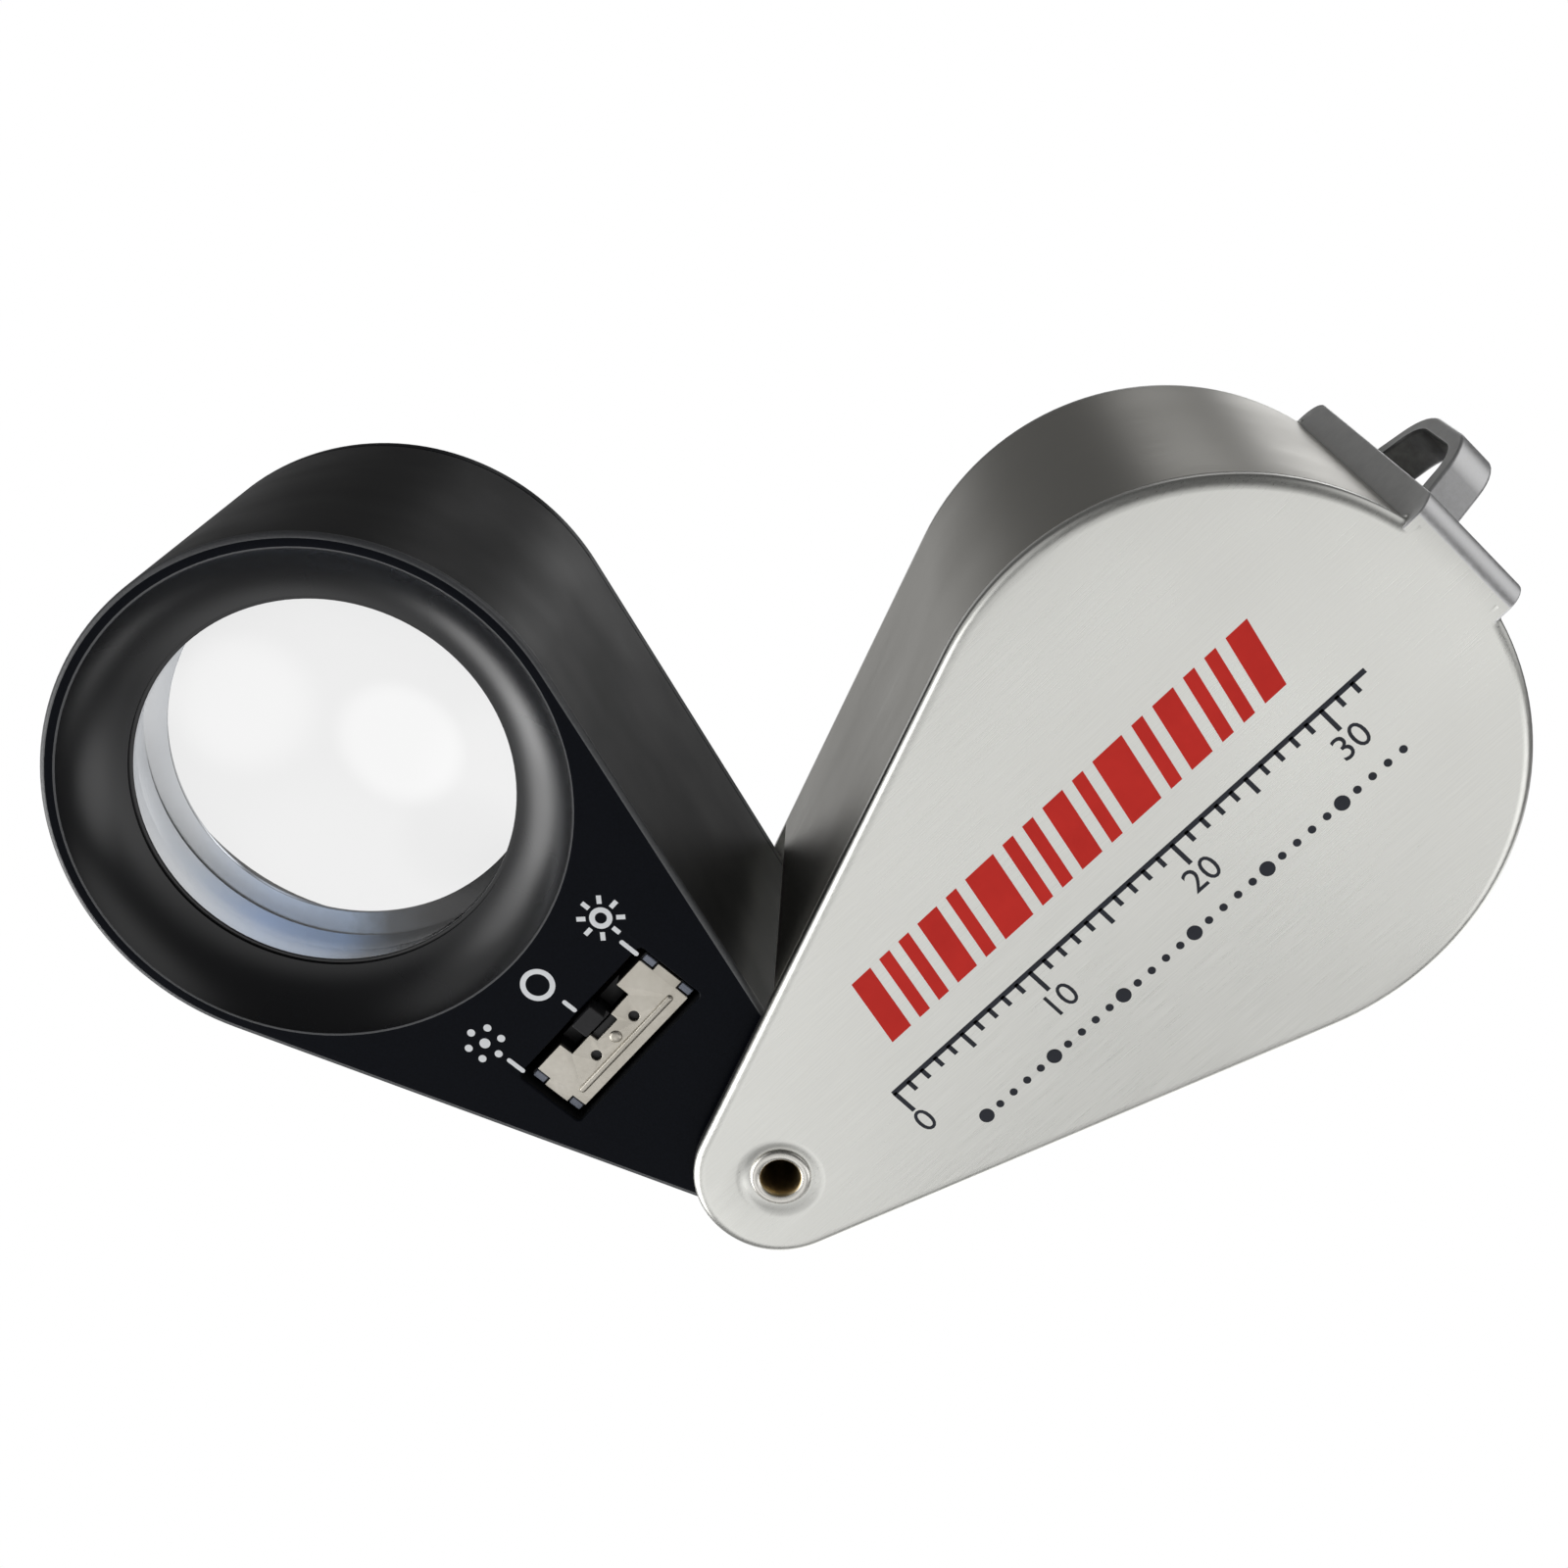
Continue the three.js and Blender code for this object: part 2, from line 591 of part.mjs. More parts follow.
function switchFrame() {
  const shape = new THREE.Shape();
  const x = (value) => switchX + value;
  const z = (value) => switchZ + value;
  const innerZ = switchHalfZ - CORNER_CUT;
  const outline = [
    [-switchHalfX, -innerZ],
    [-TONGUE_HALF, -innerZ],
    [-TONGUE_HALF, -switchHalfZ],
    [TONGUE_HALF, -switchHalfZ],
    [TONGUE_HALF, -innerZ],
    [switchHalfX, -innerZ],
    [switchHalfX, -NOTCH_HALF],
    [switchHalfX - NOTCH_DEPTH, -NOTCH_HALF],
    [switchHalfX - NOTCH_DEPTH, NOTCH_HALF],
    [switchHalfX, NOTCH_HALF],
    [switchHalfX, innerZ],
    [TONGUE_HALF, innerZ],
    [TONGUE_HALF, switchHalfZ],
    [-TONGUE_HALF, switchHalfZ],
    [-TONGUE_HALF, innerZ],
    [-switchHalfX, innerZ],
  ];
  shape.setFromPoints(outline.map(([a, b]) => new THREE.Vector2(x(a), z(b))));
  roundHole(shape, x(-0.2), z(FRAME_HOLE_REACH), FRAME_HOLE);
  roundHole(shape, x(-0.2), z(-FRAME_HOLE_REACH), FRAME_HOLE);
  return slab(shape, frameLow, frameHigh, 6);
}

piece(housing, "switch_frame", switchFrame(), nickel);

function switchBase() {
  const body = block(
    switchX - switchHalfX, switchX + switchHalfX, frameHigh, baseHigh,
    switchZ - switchHalfZ, switchZ + switchHalfZ,
  );
  const groove = block(
    switchX + switchHalfX - NOTCH_DEPTH, switchX + switchHalfX + 1, frameHigh - 1, frameHigh + 1,
    switchZ - NOTCH_HALF, switchZ + NOTCH_HALF,
  );
  const tabs = [];
  for (const sideX of [-1, 1]) {
    for (const sideZ of [-1, 1]) {
      const x = switchX + sideX * 1.25;
      const z = switchZ + sideZ * (switchHalfZ - 0.22);
      tabs.push(block(x - 0.3, x + 0.3, frameLow + 0.1, frameHigh + 0.2, z - 0.2, z + 0.2));
    }
  }
  return join(cut(body, groove), ...tabs);
}

piece(housing, "switch_base", switchBase(), blackPlastic);

// The knob stands in the frame's notch and slides along Z between three stops.
const knobBack = switchX + switchHalfX - NOTCH_DEPTH + 0.12;
const knobFront = switchX + switchHalfX + KNOB_OVERHANG;
const knob = block(
  knobBack, knobFront, -HOUSING_HALF - KNOB_RISE, frameHigh + 0.85, switchZ - KNOB_HALF, switchZ + KNOB_HALF,
);
piece(housing, "switch_slider", knob, blackPlastic);

for (const i of [-1, 0, 1]) {
  const z = switchZ + i * TERMINAL_PITCH;
  piece(
    housing,
    `switch_terminal_${i + 2}`,
    block(switchX - 0.9, switchX - 0.5, baseHigh, baseHigh + 1.2, z - 0.25, z + 0.25),
    brass,
  );
}

// ---------- wires ----------
const contactLead = new THREE.LineCurve3(
  new THREE.Vector3(CELL_PLACE - 1, baseHigh + 0.3, switchZ + 1.1),
  new THREE.Vector3(CELL_PLACE - 1, STACK_START - 0.8, switchZ + 1.1),
);
piece(housing, "battery_wire", wire(contactLead, LEAD_RADIUS, 1), red);
const lightLead = new THREE.CatmullRomCurve3([
  new THREE.Vector3(switchX + 0.6, baseHigh + 0.3, switchZ - 3.4),
  new THREE.Vector3(switchX + 0.8, baseHigh + 1.8, -5.9),
  new THREE.Vector3(switchX + 1.2, -0.5, -6.25),
  new THREE.Vector3(switchX + 2.2, 5, -6.2),
  new THREE.Vector3(17.6, 6.2, -3.7),
  new THREE.Vector3(19.7, 7.2, -3.2),
]);
piece(housing, "light_wire", wire(lightLead, LEAD_RADIUS, 24), red);

// ---------- the two bodies in their open pose ----------
cover.rotation.y = -radians(COVER_ANGLE);
housing.rotation.y = -radians(HOUSING_ANGLE);

// The origin lies under the middle of the whole object, at its lowest point.
const rightmost = SPAN * Math.cos(radians(COVER_ANGLE)) + COVER_BIG;
const leftmost = SPAN * Math.cos(radians(HOUSING_ANGLE)) - HOUSING_BIG;
const hinge = new THREE.Vector3(-(rightmost + leftmost) / 2, 0, COVER_SMALL);
cover.position.copy(hinge);
housing.position.copy(hinge);

export default loupe;
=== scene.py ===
"""A folding illuminated loupe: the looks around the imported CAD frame.

Sizes are in millimetres and become metres when a mesh is made. Both bodies are drawn in their
own frame, with the hinge axis through the origin along Y: x runs from the hinge to the middle
of the round end, z is the side to the left of it, and the front faces look towards -Y.
"""

import json
import math

import bmesh
import bpy
from mathutils import Matrix, Vector
from mathutils.geometry import tessellate_polygon


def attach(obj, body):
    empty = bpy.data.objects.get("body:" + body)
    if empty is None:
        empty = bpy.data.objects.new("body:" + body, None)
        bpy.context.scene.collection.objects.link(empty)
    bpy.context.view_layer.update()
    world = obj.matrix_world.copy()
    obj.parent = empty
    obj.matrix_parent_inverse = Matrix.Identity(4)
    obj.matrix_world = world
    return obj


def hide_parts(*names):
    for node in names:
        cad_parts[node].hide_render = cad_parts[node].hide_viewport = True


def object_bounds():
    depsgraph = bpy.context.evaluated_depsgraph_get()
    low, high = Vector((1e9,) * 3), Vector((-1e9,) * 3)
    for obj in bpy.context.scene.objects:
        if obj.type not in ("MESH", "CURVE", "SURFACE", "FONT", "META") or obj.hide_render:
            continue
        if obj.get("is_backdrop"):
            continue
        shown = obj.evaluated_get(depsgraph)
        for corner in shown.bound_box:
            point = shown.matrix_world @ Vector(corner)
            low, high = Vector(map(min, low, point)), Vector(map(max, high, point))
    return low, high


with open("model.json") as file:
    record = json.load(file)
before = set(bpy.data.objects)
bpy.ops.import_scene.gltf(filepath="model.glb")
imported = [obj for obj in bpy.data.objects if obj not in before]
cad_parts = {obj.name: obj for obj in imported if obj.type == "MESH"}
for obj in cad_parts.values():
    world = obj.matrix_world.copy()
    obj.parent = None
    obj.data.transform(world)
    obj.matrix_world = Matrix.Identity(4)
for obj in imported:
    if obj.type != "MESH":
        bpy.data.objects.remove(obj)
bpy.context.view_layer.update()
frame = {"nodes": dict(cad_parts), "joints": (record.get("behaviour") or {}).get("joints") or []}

# ---------- driving dimensions ----------
MM = 0.001
SPAN = 32.2
COVER_ANGLE = 46.5
HOUSING_ANGLE = 139
HINGE = Vector(next(j["pos_m"] for j in frame["joints"] if j["name"] == "housing_swing"))

COVER_BIG = 15.5
COVER_SMALL = 4.8
COVER_HALF = 13
PLATE = 1.0
WALL = 0.7
WALL_START = 9.8
WALL_END_ANGLE = 13.2
PLATE_EDGE = 0.5  # rounding of the plates' outer edge
PLATE_SPREAD = 1.4  # how many times wider than deep that rounding is

STRAP_TOP = 49.0
STRAP_THICK = 1.4
STRAP_HALF_WIDTH = 3.45
STRAP_FILLET = 0.35
BAIL_CROWN = 52.5
BAIL_THICK = 1.0
BAIL_WIDTH = 2.5
BAIL_MIDDLE = 0.2  # how far left of the strap's middle it stands
BAIL_FRONT = -6.2
BAIL_REAR = 5.0
BAIL_BEND = 3.0
BAIL_GAP = 0.3
BAIL_LEAN = 1.8  # how far each limb leans inwards on its way up

RIVET_BORE = 0.88
RIVET_MOUTH = 1.16
RIVET_BARREL = 1.4
RIVET_FLANGE = 1.66
PLATE_HOLE = 1.5
WASHER_HOLE = 1.55
WASHER_OUTER = 3.6
WASHER_THICK = 0.4
WASHER_GAP = 0.1
DIMPLE = 2.5  # outer radius of the dished ring pressed into the plate
DIMPLE_DEPTH = 0.22

HOUSING_BIG = 14.3
HOUSING_SMALL = 3.9
HOUSING_HALF = 11.4
REAR_COVER_THICK = 1.1
REAR_OPENING = 12.6
BUSH_INNER = 1.6
BUSH_OUTER = 2.2
BUSH_HOLE = 2.35
BOWL_OUTER = 13.45
BOWL_INNER = 10.42
BOWL_DEPTH = 2.3
BOWL_STEEP = 58  # degrees between the bowl and the front face at the rim
LIP_THICK = 0.16
CELL_BORE = 12.6
CELL_OUTER = 12.3
CELL_INNER = 10.8
BAY_NEAR = 6.2
BAY_FAR = 17.6
BAY_FRONT = -9.8
HOUSING_WALL = 1.5

LENS_RADIUS = 10.5
LENS_APEX = -10.4
LENS_SAG = 1.7
TRIPLET_THICK = 14.2
LED_CIRCLE = 11.6
LED_RADIUS = 0.8
LED_COUNT = 6
BOARD_TOP = 8.5

SWITCH_X = 11.95
SWITCH_Z = 0.25
SWITCH_HALF_X = 1.7
SWITCH_HALF_Z = 4.9
SWITCH_TOP = -10.95
POCKET_GAP = 0.3
FRAME_THICK = 0.25
NOTCH_HALF = 2.4  # the notch that the slider travels in
NOTCH_DEPTH = 0.85
STEP_HALF = 0.85  # a deeper step in the middle of the notch
STEP_DEPTH = 0.5
BASE_DEPTH = 3.2
SLOT_WIDTH = 0.95  # the slot that the slider's post runs in

SCREW_PLACES = [(19.5, 8.2), (19.5, -8.2), (4.45, 0)]
DOOR_SCREW_PLACE = (16.9, 4.1)
SCREW_HEAD = 1.1
SCREW_SINK = 1.25
SCREW_SLOT = 0.16  # half of its width
DOOR = {"x0": 6.9, "x1": 18.2, "half": 5, "thick": 0.7, "low": 10.6}

DOOR_GAP = 0.2

PRINT_THICK = 0.012
SEGMENTS = 128


# ---------- outlines ----------
def arc(x, z, radius, start, end, steps):
    """Points of an arc, its first and last included. Angles in radians."""
    turns = [start + (end - start) * i / steps for i in range(steps + 1)]
    return [(x + radius * math.cos(t), z + radius * math.sin(t)) for t in turns]


def circle(x, z, radius, steps=SEGMENTS, hole=False):
    points = arc(x, z, radius, 0, 2 * math.pi, steps)[:-1]
    return points[::-1] if hole else points


def rectangle(x0, x1, z0, z1, corner=0.0, hole=False):
    if corner:
        points = []
        for x, z, quarter in ((x1, z0, 3), (x1, z1, 0), (x0, z1, 1), (x0, z0, 2)):
            inner_x = x + (corner if x == x0 else -corner)
            inner_z = z + (corner if z == z0 else -corner)
            start = quarter * math.pi / 2
            points += arc(inner_x, inner_z, corner, start, start + math.pi / 2, 4)
    else:
        points = [(x0, z0), (x1, z0), (x1, z1), (x0, z1)]
    return points[::-1] if hole else points


def tangent_angle(big, small):
    return math.pi / 2 + math.asin((big - small) / SPAN)


def teardrop(big, small):
    turn = tangent_angle(big, small)
    round_end = arc(SPAN, 0, big, -turn, turn, 96)
    hinge_end = arc(0, 0, small, turn, 2 * math.pi - turn, 32)
    return round_end + hinge_end


def offset(points, distance):
    """The closed outline moved to its left by distance."""
    moved = []
    count = len(points)
    for i, point in enumerate(points):
        here = Vector(point)
        before = (here - Vector(points[i - 1])).normalized()
        after = (Vector(points[(i + 1) % count]) - here).normalized()
        side_before = Vector((-before.y, before.x))
        side_after = Vector((-after.y, after.x))
        side = (side_before + side_after).normalized()
        reach = distance / max(0.5, side.dot(side_after))
        moved.append((here.x + side.x * reach, here.y + side.y * reach))
    return moved


def filleted(corners):
    """A closed outline through (x, z, radius) corners, each rounded by an arc of that radius."""
    points = []
    count = len(corners)
    for i, (x, z, radius) in enumerate(corners):
        here = Vector((x, z))
        back = (Vector(corners[i - 1][:2]) - here).normalized()
        ahead = (Vector(corners[(i + 1) % count][:2]) - here).normalized()
        half = back.angle(ahead) / 2
        if radius == 0:
            points.append((x, z))
            continue
        middle = here + (back + ahead).normalized() * (radius / math.sin(half))
        first = here + back * (radius / math.tan(half)) - middle
        last = here + ahead * (radius / math.tan(half)) - middle
        start = math.atan2(first.y, first.x)
        sweep = math.atan2(last.y, last.x) - start
        sweep = (sweep + math.pi) % (2 * math.pi) - math.pi
        steps = max(2, round(abs(sweep) / math.radians(9)))
        points += arc(middle.x, middle.y, radius, start, start + sweep, steps)
    return points


# ---------- meshes ----------
class Shell:
    """A mesh made of loops of points that lie in planes, bridges between them and flat caps.

    A loop's points are (x, z) at a depth y, or (x, y) at a depth z when across is True."""

    def __init__(self, across=False):
        self.across = across
        self.points = []
        self.faces = []
        self.looks = []
        self.flat = {}

    def loop(self, outline, depth):
        start = len(self.points)
        for a, b in outline:
            self.flat[len(self.points)] = (a, b)
            self.points.append((a, b, depth) if self.across else (a, depth, b))
        return list(range(start, len(self.points)))

    def bridge(self, one, other, look=0):
        count = len(one)
        for i in range(count):
            j = (i + 1) % count
            self.faces.append((one[i], one[j], other[j], other[i]))
            self.looks.append(look)

    def cap(self, loops, look=0):
        flat = [[Vector((*self.flat[i], 0)) for i in loop] for loop in loops]
        order = [i for loop in loops for i in loop]
        for triangle in tessellate_polygon(flat):
            self.faces.append(tuple(order[i] for i in triangle))
            self.looks.append(look)

    def fan(self, loop, point, depth, look=0):
        tip = self.loop([point], depth)[0]
        for i in range(len(loop)):
            self.faces.append((loop[i], loop[(i + 1) % len(loop)], tip))
            self.looks.append(look)

    def edge(self, outline, face, towards, radius, look=0, steps=4, spread=1.0):
        """A rounded edge from the side of an outline to its face. Gives the side's and face's loops."""
        loops = []
        for i in range(steps + 1):
            turn = math.pi / 2 * i / steps
            inset = radius * spread * (1 - math.cos(turn))
            depth = face + towards * radius * (1 - math.sin(turn))
            loops.append(self.loop(offset(outline, inset), depth))
        for one, other in zip(loops, loops[1:]):
            self.bridge(one, other, look)
        return loops[0], loops[-1]

    def stack(self, x, z, profile, segments=SEGMENTS, look=0, looks=None):
        """Circles for each (radius, depth) of a profile, bridged in turn. Gives the circles."""
        loops = [self.loop(circle(x, z, radius, segments), depth) for radius, depth in profile]
        for i, (one, other) in enumerate(zip(loops, loops[1:])):
            self.bridge(one, other, looks[i] if looks else look)
        return loops

    def mesh(self, name, smooth=35):
        made = bpy.data.meshes.new(name)
        made.from_pydata([[c * MM for c in p] for p in self.points], [], self.faces)
        for polygon, look in zip(made.polygons, self.looks):
            polygon.material_index = look
            polygon.use_smooth = True
        shape = bmesh.new()
        shape.from_mesh(made)
        bmesh.ops.remove_doubles(shape, verts=shape.verts, dist=1e-8)
        bmesh.ops.recalc_face_normals(shape, faces=shape.faces)
        shape.to_mesh(made)
        shape.free()
        made.set_sharp_from_angle(angle=math.radians(smooth))
        return made


def slab(outline, low, high, holes=(), low_edge=0.1, high_edge=0.1, across=False, steps=3):
    """A prism with rounded edges. Holes run clockwise."""
    shell = Shell(across)
    low_loops = []
    high_loops = []
    for path in [outline, *holes]:
        side_low, face_low = shell.edge(path, low, 1, low_edge, steps=steps)
        side_high, face_high = shell.edge(path, high, -1, high_edge, steps=steps)
        shell.bridge(side_low, side_high)
        low_loops.append(face_low)
        high_loops.append(face_high)
    shell.cap(low_loops)
    shell.cap(high_loops)
    return shell


def prism(path, low, high):
    """A plain prism with sharp edges."""
    shell = Shell()
    ends = [shell.loop(path, low), shell.loop(path, high)]
    shell.bridge(*ends)
    for end in ends:
        shell.cap([end])
    return shell


def turned(profile, x=0.0, z=0.0, segments=SEGMENTS):
    """A profile of (radius, depth) turned about Y. It closes on itself or on the axis."""
    shell = Shell()
    inner = [p for p in profile if p[0] > 0]
    loops = shell.stack(x, z, inner, segments)
    if profile[0][0] == 0:
        shell.fan(loops[0], (x, z), profile[0][1])
    if profile[-1][0] == 0:
        shell.fan(loops[-1], (x, z), profile[-1][1])
    if profile[0][0] > 0 and profile[-1][0] > 0:
        shell.bridge(loops[-1], loops[0])
    return shell


def rounded_ring(inner, outer, low, high, edge=0.08):
    """The profile of a washer with rounded edges."""
    corners = [(inner, low), (outer, low), (outer, high), (inner, high)]
    return filleted([(r, y, edge) for r, y in corners])


BODY_MATRIX = {
    "cover": Matrix.Translation(HINGE) @ Matrix.Rotation(-math.radians(COVER_ANGLE), 4, "Y"),
    "lens_unit": Matrix.Translation(HINGE) @ Matrix.Rotation(-math.radians(HOUSING_ANGLE), 4, "Y"),
}
BODY_MATRIX["switch_knob"] = BODY_MATRIX["lens_unit"]


def place(name, mesh, body, materials, replaced=()):
    """A finished piece in its body's frame, riding on that body."""
    mesh.transform(BODY_MATRIX[body])
    thing = bpy.data.objects.new(name, mesh)
    bpy.context.scene.collection.objects.link(thing)
    for material in materials:
        mesh.materials.append(material)
    weighted = thing.modifiers.new("even_shading", "WEIGHTED_NORMAL")
    weighted.keep_sharp = True
    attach(thing, body)
    if replaced:
        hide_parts(*replaced)
    return thing


# ---------- materials ----------
class Nodes:
    """A material's node tree with short calls for what the materials here share.

    Its pattern runs along a body that stands at the angle given in degrees."""

    def __init__(self, name, angle=0.0):
        self.material = bpy.data.materials.new(name)
        self.material.use_nodes = True
        self.tree = self.material.node_tree
        self.shader = self.tree.nodes["Principled BSDF"]
        turn = self.add("ShaderNodeMapping")
        turn.inputs["Rotation"].default_value = (0, math.radians(angle), 0)
        self.link(self.add("ShaderNodeTexCoord").outputs["Object"], turn.inputs["Vector"])
        self.position = turn.outputs["Vector"]

    def add(self, kind, **values):
        node = self.tree.nodes.new(kind)
        for key, value in values.items():
            setattr(node, key, value)
        return node

    def link(self, source, target):
        self.tree.links.new(source, target)

    def noise(self, stretch, detail=3.0, roughness=0.6):
        """Noise of about one feature per unit after the position in metres is stretched."""
        mapping = self.add("ShaderNodeMapping")
        mapping.inputs["Scale"].default_value = stretch
        self.link(self.position, mapping.inputs["Vector"])
        noise = self.add("ShaderNodeTexNoise")
        noise.inputs["Scale"].default_value = 1.0
        noise.inputs["Detail"].default_value = detail
        noise.inputs["Roughness"].default_value = roughness
        self.link(mapping.outputs["Vector"], noise.inputs["Vector"])
        return noise.outputs["Fac"]

    def ranged(self, value, from_low, from_high, to_low, to_high):
        node = self.add("ShaderNodeMapRange")
        self.link(value, node.inputs["Value"])
        sockets = ("From Min", "From Max", "To Min", "To Max")
        for socket, number in zip(sockets, (from_low, from_high, to_low, to_high)):
            node.inputs[socket].default_value = number
        return node.outputs["Result"]

    def ramp(self, value, stops):
        node = self.add("ShaderNodeValToRGB")
        elements = node.color_ramp.elements
        while len(elements) < len(stops):
            elements.new(0.5)
        for element, (place_at, colour) in zip(elements, stops):
            element.position = place_at
            element.color = (*colour, 1)
        self.link(value, node.inputs["Fac"])
        return node.outputs["Color"]

    def math(self, operation, one, other):
        node = self.add("ShaderNodeMath", operation=operation)
        for socket, value in zip(node.inputs, (one, other)):
            if isinstance(value, (int, float)):
                socket.default_value = value
            else:
                self.link(value, socket)
        return node.outputs["Value"]

    def bump(self, height, strength, distance):
        node = self.add("ShaderNodeBump")
        node.inputs["Strength"].default_value = strength
        node.inputs["Distance"].default_value = distance
        self.link(height, node.inputs["Height"])
        self.link(node.outputs["Normal"], self.shader.inputs["Normal"])

    def set(self, **values):
        for key, value in values.items():
            self.shader.inputs[key.replace("_", " ")].default_value = value


def brushed(name, low, high, roughness, grain, anisotropy=0.0):
    """Sheet steel with hairlines. grain is (x, y, z) counts per metre of the brush marks."""
    nodes = Nodes(name, COVER_ANGLE)
    hairs = nodes.noise(grain, detail=4, roughness=0.7)
    clouds = nodes.noise((90, 90, 90), detail=2, roughness=0.5)
    colour = nodes.ramp(hairs, [(0.3, low), (0.7, high)])
    nodes.link(colour, nodes.shader.inputs["Base Color"])
    rough_hairs = nodes.ranged(hairs, 0.3, 0.7, roughness - 0.05, roughness + 0.06)
    rough_clouds = nodes.ranged(clouds, 0.3, 0.7, -0.03, 0.03)
    nodes.link(nodes.math("ADD", rough_hairs, rough_clouds), nodes.shader.inputs["Roughness"])
    nodes.bump(hairs, 0.12, 0.00002)
    nodes.set(Metallic=1.0, Anisotropic=anisotropy)
    if anisotropy:
        along = nodes.add("ShaderNodeVectorTransform", vector_type="VECTOR")
        along.convert_from = "OBJECT"
        along.convert_to = "WORLD"
        turn = math.radians(COVER_ANGLE)
        along.inputs["Vector"].default_value = (math.cos(turn), 0, math.sin(turn))
        nodes.link(along.outputs["Vector"], nodes.shader.inputs["Tangent"])
    return nodes.material


def anodised(name, colour, roughness, grain, strength, specular):
    """Black anodised aluminium with a fine blasted grain."""
    nodes = Nodes(name)
    fine = nodes.noise((grain, grain, grain), detail=2)
    broad = nodes.noise((140, 140, 140), detail=2)
    light = tuple(1.35 * c for c in colour)
    nodes.link(nodes.ramp(fine, [(0.35, colour), (0.7, light)]), nodes.shader.inputs["Base Color"])
    rough = nodes.ranged(broad, 0.3, 0.7, roughness - 0.03, roughness + 0.04)
    nodes.link(rough, nodes.shader.inputs["Roughness"])
    nodes.bump(fine, strength, 0.00002)
    nodes.set(Metallic=0.0, Specular_IOR_Level=specular)
    return nodes.material


def polished(name, low, high, roughness, metallic=1.0, specular=0.5):
    """A smooth metal or moulded surface with slight variation."""
    nodes = Nodes(name)
    broad = nodes.noise((400, 400, 400), detail=3)
    fine = nodes.noise((4000, 4000, 4000), detail=2)
    nodes.link(nodes.ramp(broad, [(0.3, low), (0.7, high)]), nodes.shader.inputs["Base Color"])
    rough = nodes.ranged(fine, 0.3, 0.7, roughness - 0.04, roughness + 0.04)
    nodes.link(rough, nodes.shader.inputs["Roughness"])
    nodes.bump(fine, 0.1, 0.00001)
    nodes.set(Metallic=metallic, Specular_IOR_Level=specular)
    return nodes.material


def edge_painted_reflection(name):
    """The lens's blackened edge with a painted reflection on it: silvery far from the hinge, black towards
    it.
    """
    nodes = Nodes(name)
    split = nodes.add("ShaderNodeSeparateXYZ")
    nodes.link(nodes.position, split.inputs["Vector"])
    across = nodes.ranged(split.outputs["X"], -0.037, -0.011, 0, 1)
    grain = nodes.math("MULTIPLY", nodes.noise((2500, 2500, 2500)), 0.04)
    stops = [(0.0, (1.0, 1.0, 1.0)), (0.20, (0.93, 0.96, 1.0)), (0.34, (0.62, 0.73, 0.92))]
    stops += [(0.48, (0.38, 0.48, 0.64)), (0.56, (0.06, 0.07, 0.085)), (0.64, (0.005, 0.005, 0.006))]
    colour = nodes.ramp(nodes.math("ADD", across, grain), stops)
    nodes.link(colour, nodes.shader.inputs["Base Color"])
    nodes.set(Metallic=1.0, Roughness=0.2)
    return nodes.material


def clear(name, colour, roughness=0.0, ior=1.52, specular=0.5):
    nodes = Nodes(name)
    broad = nodes.noise((60, 60, 60), detail=1)
    tint = tuple(0.985 * c for c in colour)
    nodes.link(nodes.ramp(broad, [(0.3, tint), (0.7, colour)]), nodes.shader.inputs["Base Color"])
    nodes.set(Roughness=roughness, IOR=ior, Transmission_Weight=1.0, Specular_IOR_Level=specular)
    return nodes.material


PLATE_GRAIN = (260, 14000, 14000)
STEEL_PLATE = brushed("cover_brushed", (0.70, 0.70, 0.665), (0.79, 0.79, 0.755), 0.3, PLATE_GRAIN, 0.5)
STEEL_WALL = brushed("wall_satin", (0.47, 0.455, 0.415), (0.54, 0.525, 0.48), 0.34, (300, 12000, 300))
STEEL_STRAP = brushed("strap_satin", (0.70, 0.70, 0.70), (0.78, 0.78, 0.79), 0.38, (4000, 4000, 4000))
STEEL_CUT = brushed("strap_cut_edge", (0.86, 0.86, 0.85), (0.93, 0.93, 0.92), 0.6, (1500, 1500, 1500))
# Painted shade: a dark copy of the steel for the bail's inner faces, where shade falls.
STEEL_PAINTED_SHADE = brushed("bail_inside_painted_shade", (0.10, 0.10, 0.10), (0.18, 0.18, 0.18), 0.4, (900, 900, 900))
EYELET = polished("eyelet_nickel", (0.66, 0.64, 0.60), (0.76, 0.75, 0.71), 0.28)
BRASS = polished("bare_brass", (0.40, 0.31, 0.17), (0.52, 0.42, 0.25), 0.36)
BLACK_FACE = anodised("anodised_face", (0.0034, 0.0042, 0.0066), 0.30, 9000, 0.25, 0.05)
# Painted highlight: the rim's base colour is lighter than the face's to stand in for the light band along it;
# its stronger grain is its own.
BLACK_RIM_PAINTED_HIGHLIGHT = anodised("anodised_rim_painted_highlight", (0.042, 0.044, 0.048), 0.40, 9000, 1.0, 0.9)
BLACK_SIDE = anodised("anodised_side", (0.0105, 0.0109, 0.0117), 0.42, 9000, 0.2, 0.12)
BLACK_BOWL = anodised("anodised_bowl", (0.0014, 0.0017, 0.0028), 0.28, 8000, 0.04, 0.7)
BLACK_INSIDE = anodised("anodised_bore", (0.008, 0.008, 0.009), 0.45, 5000, 0.3, 0.4)
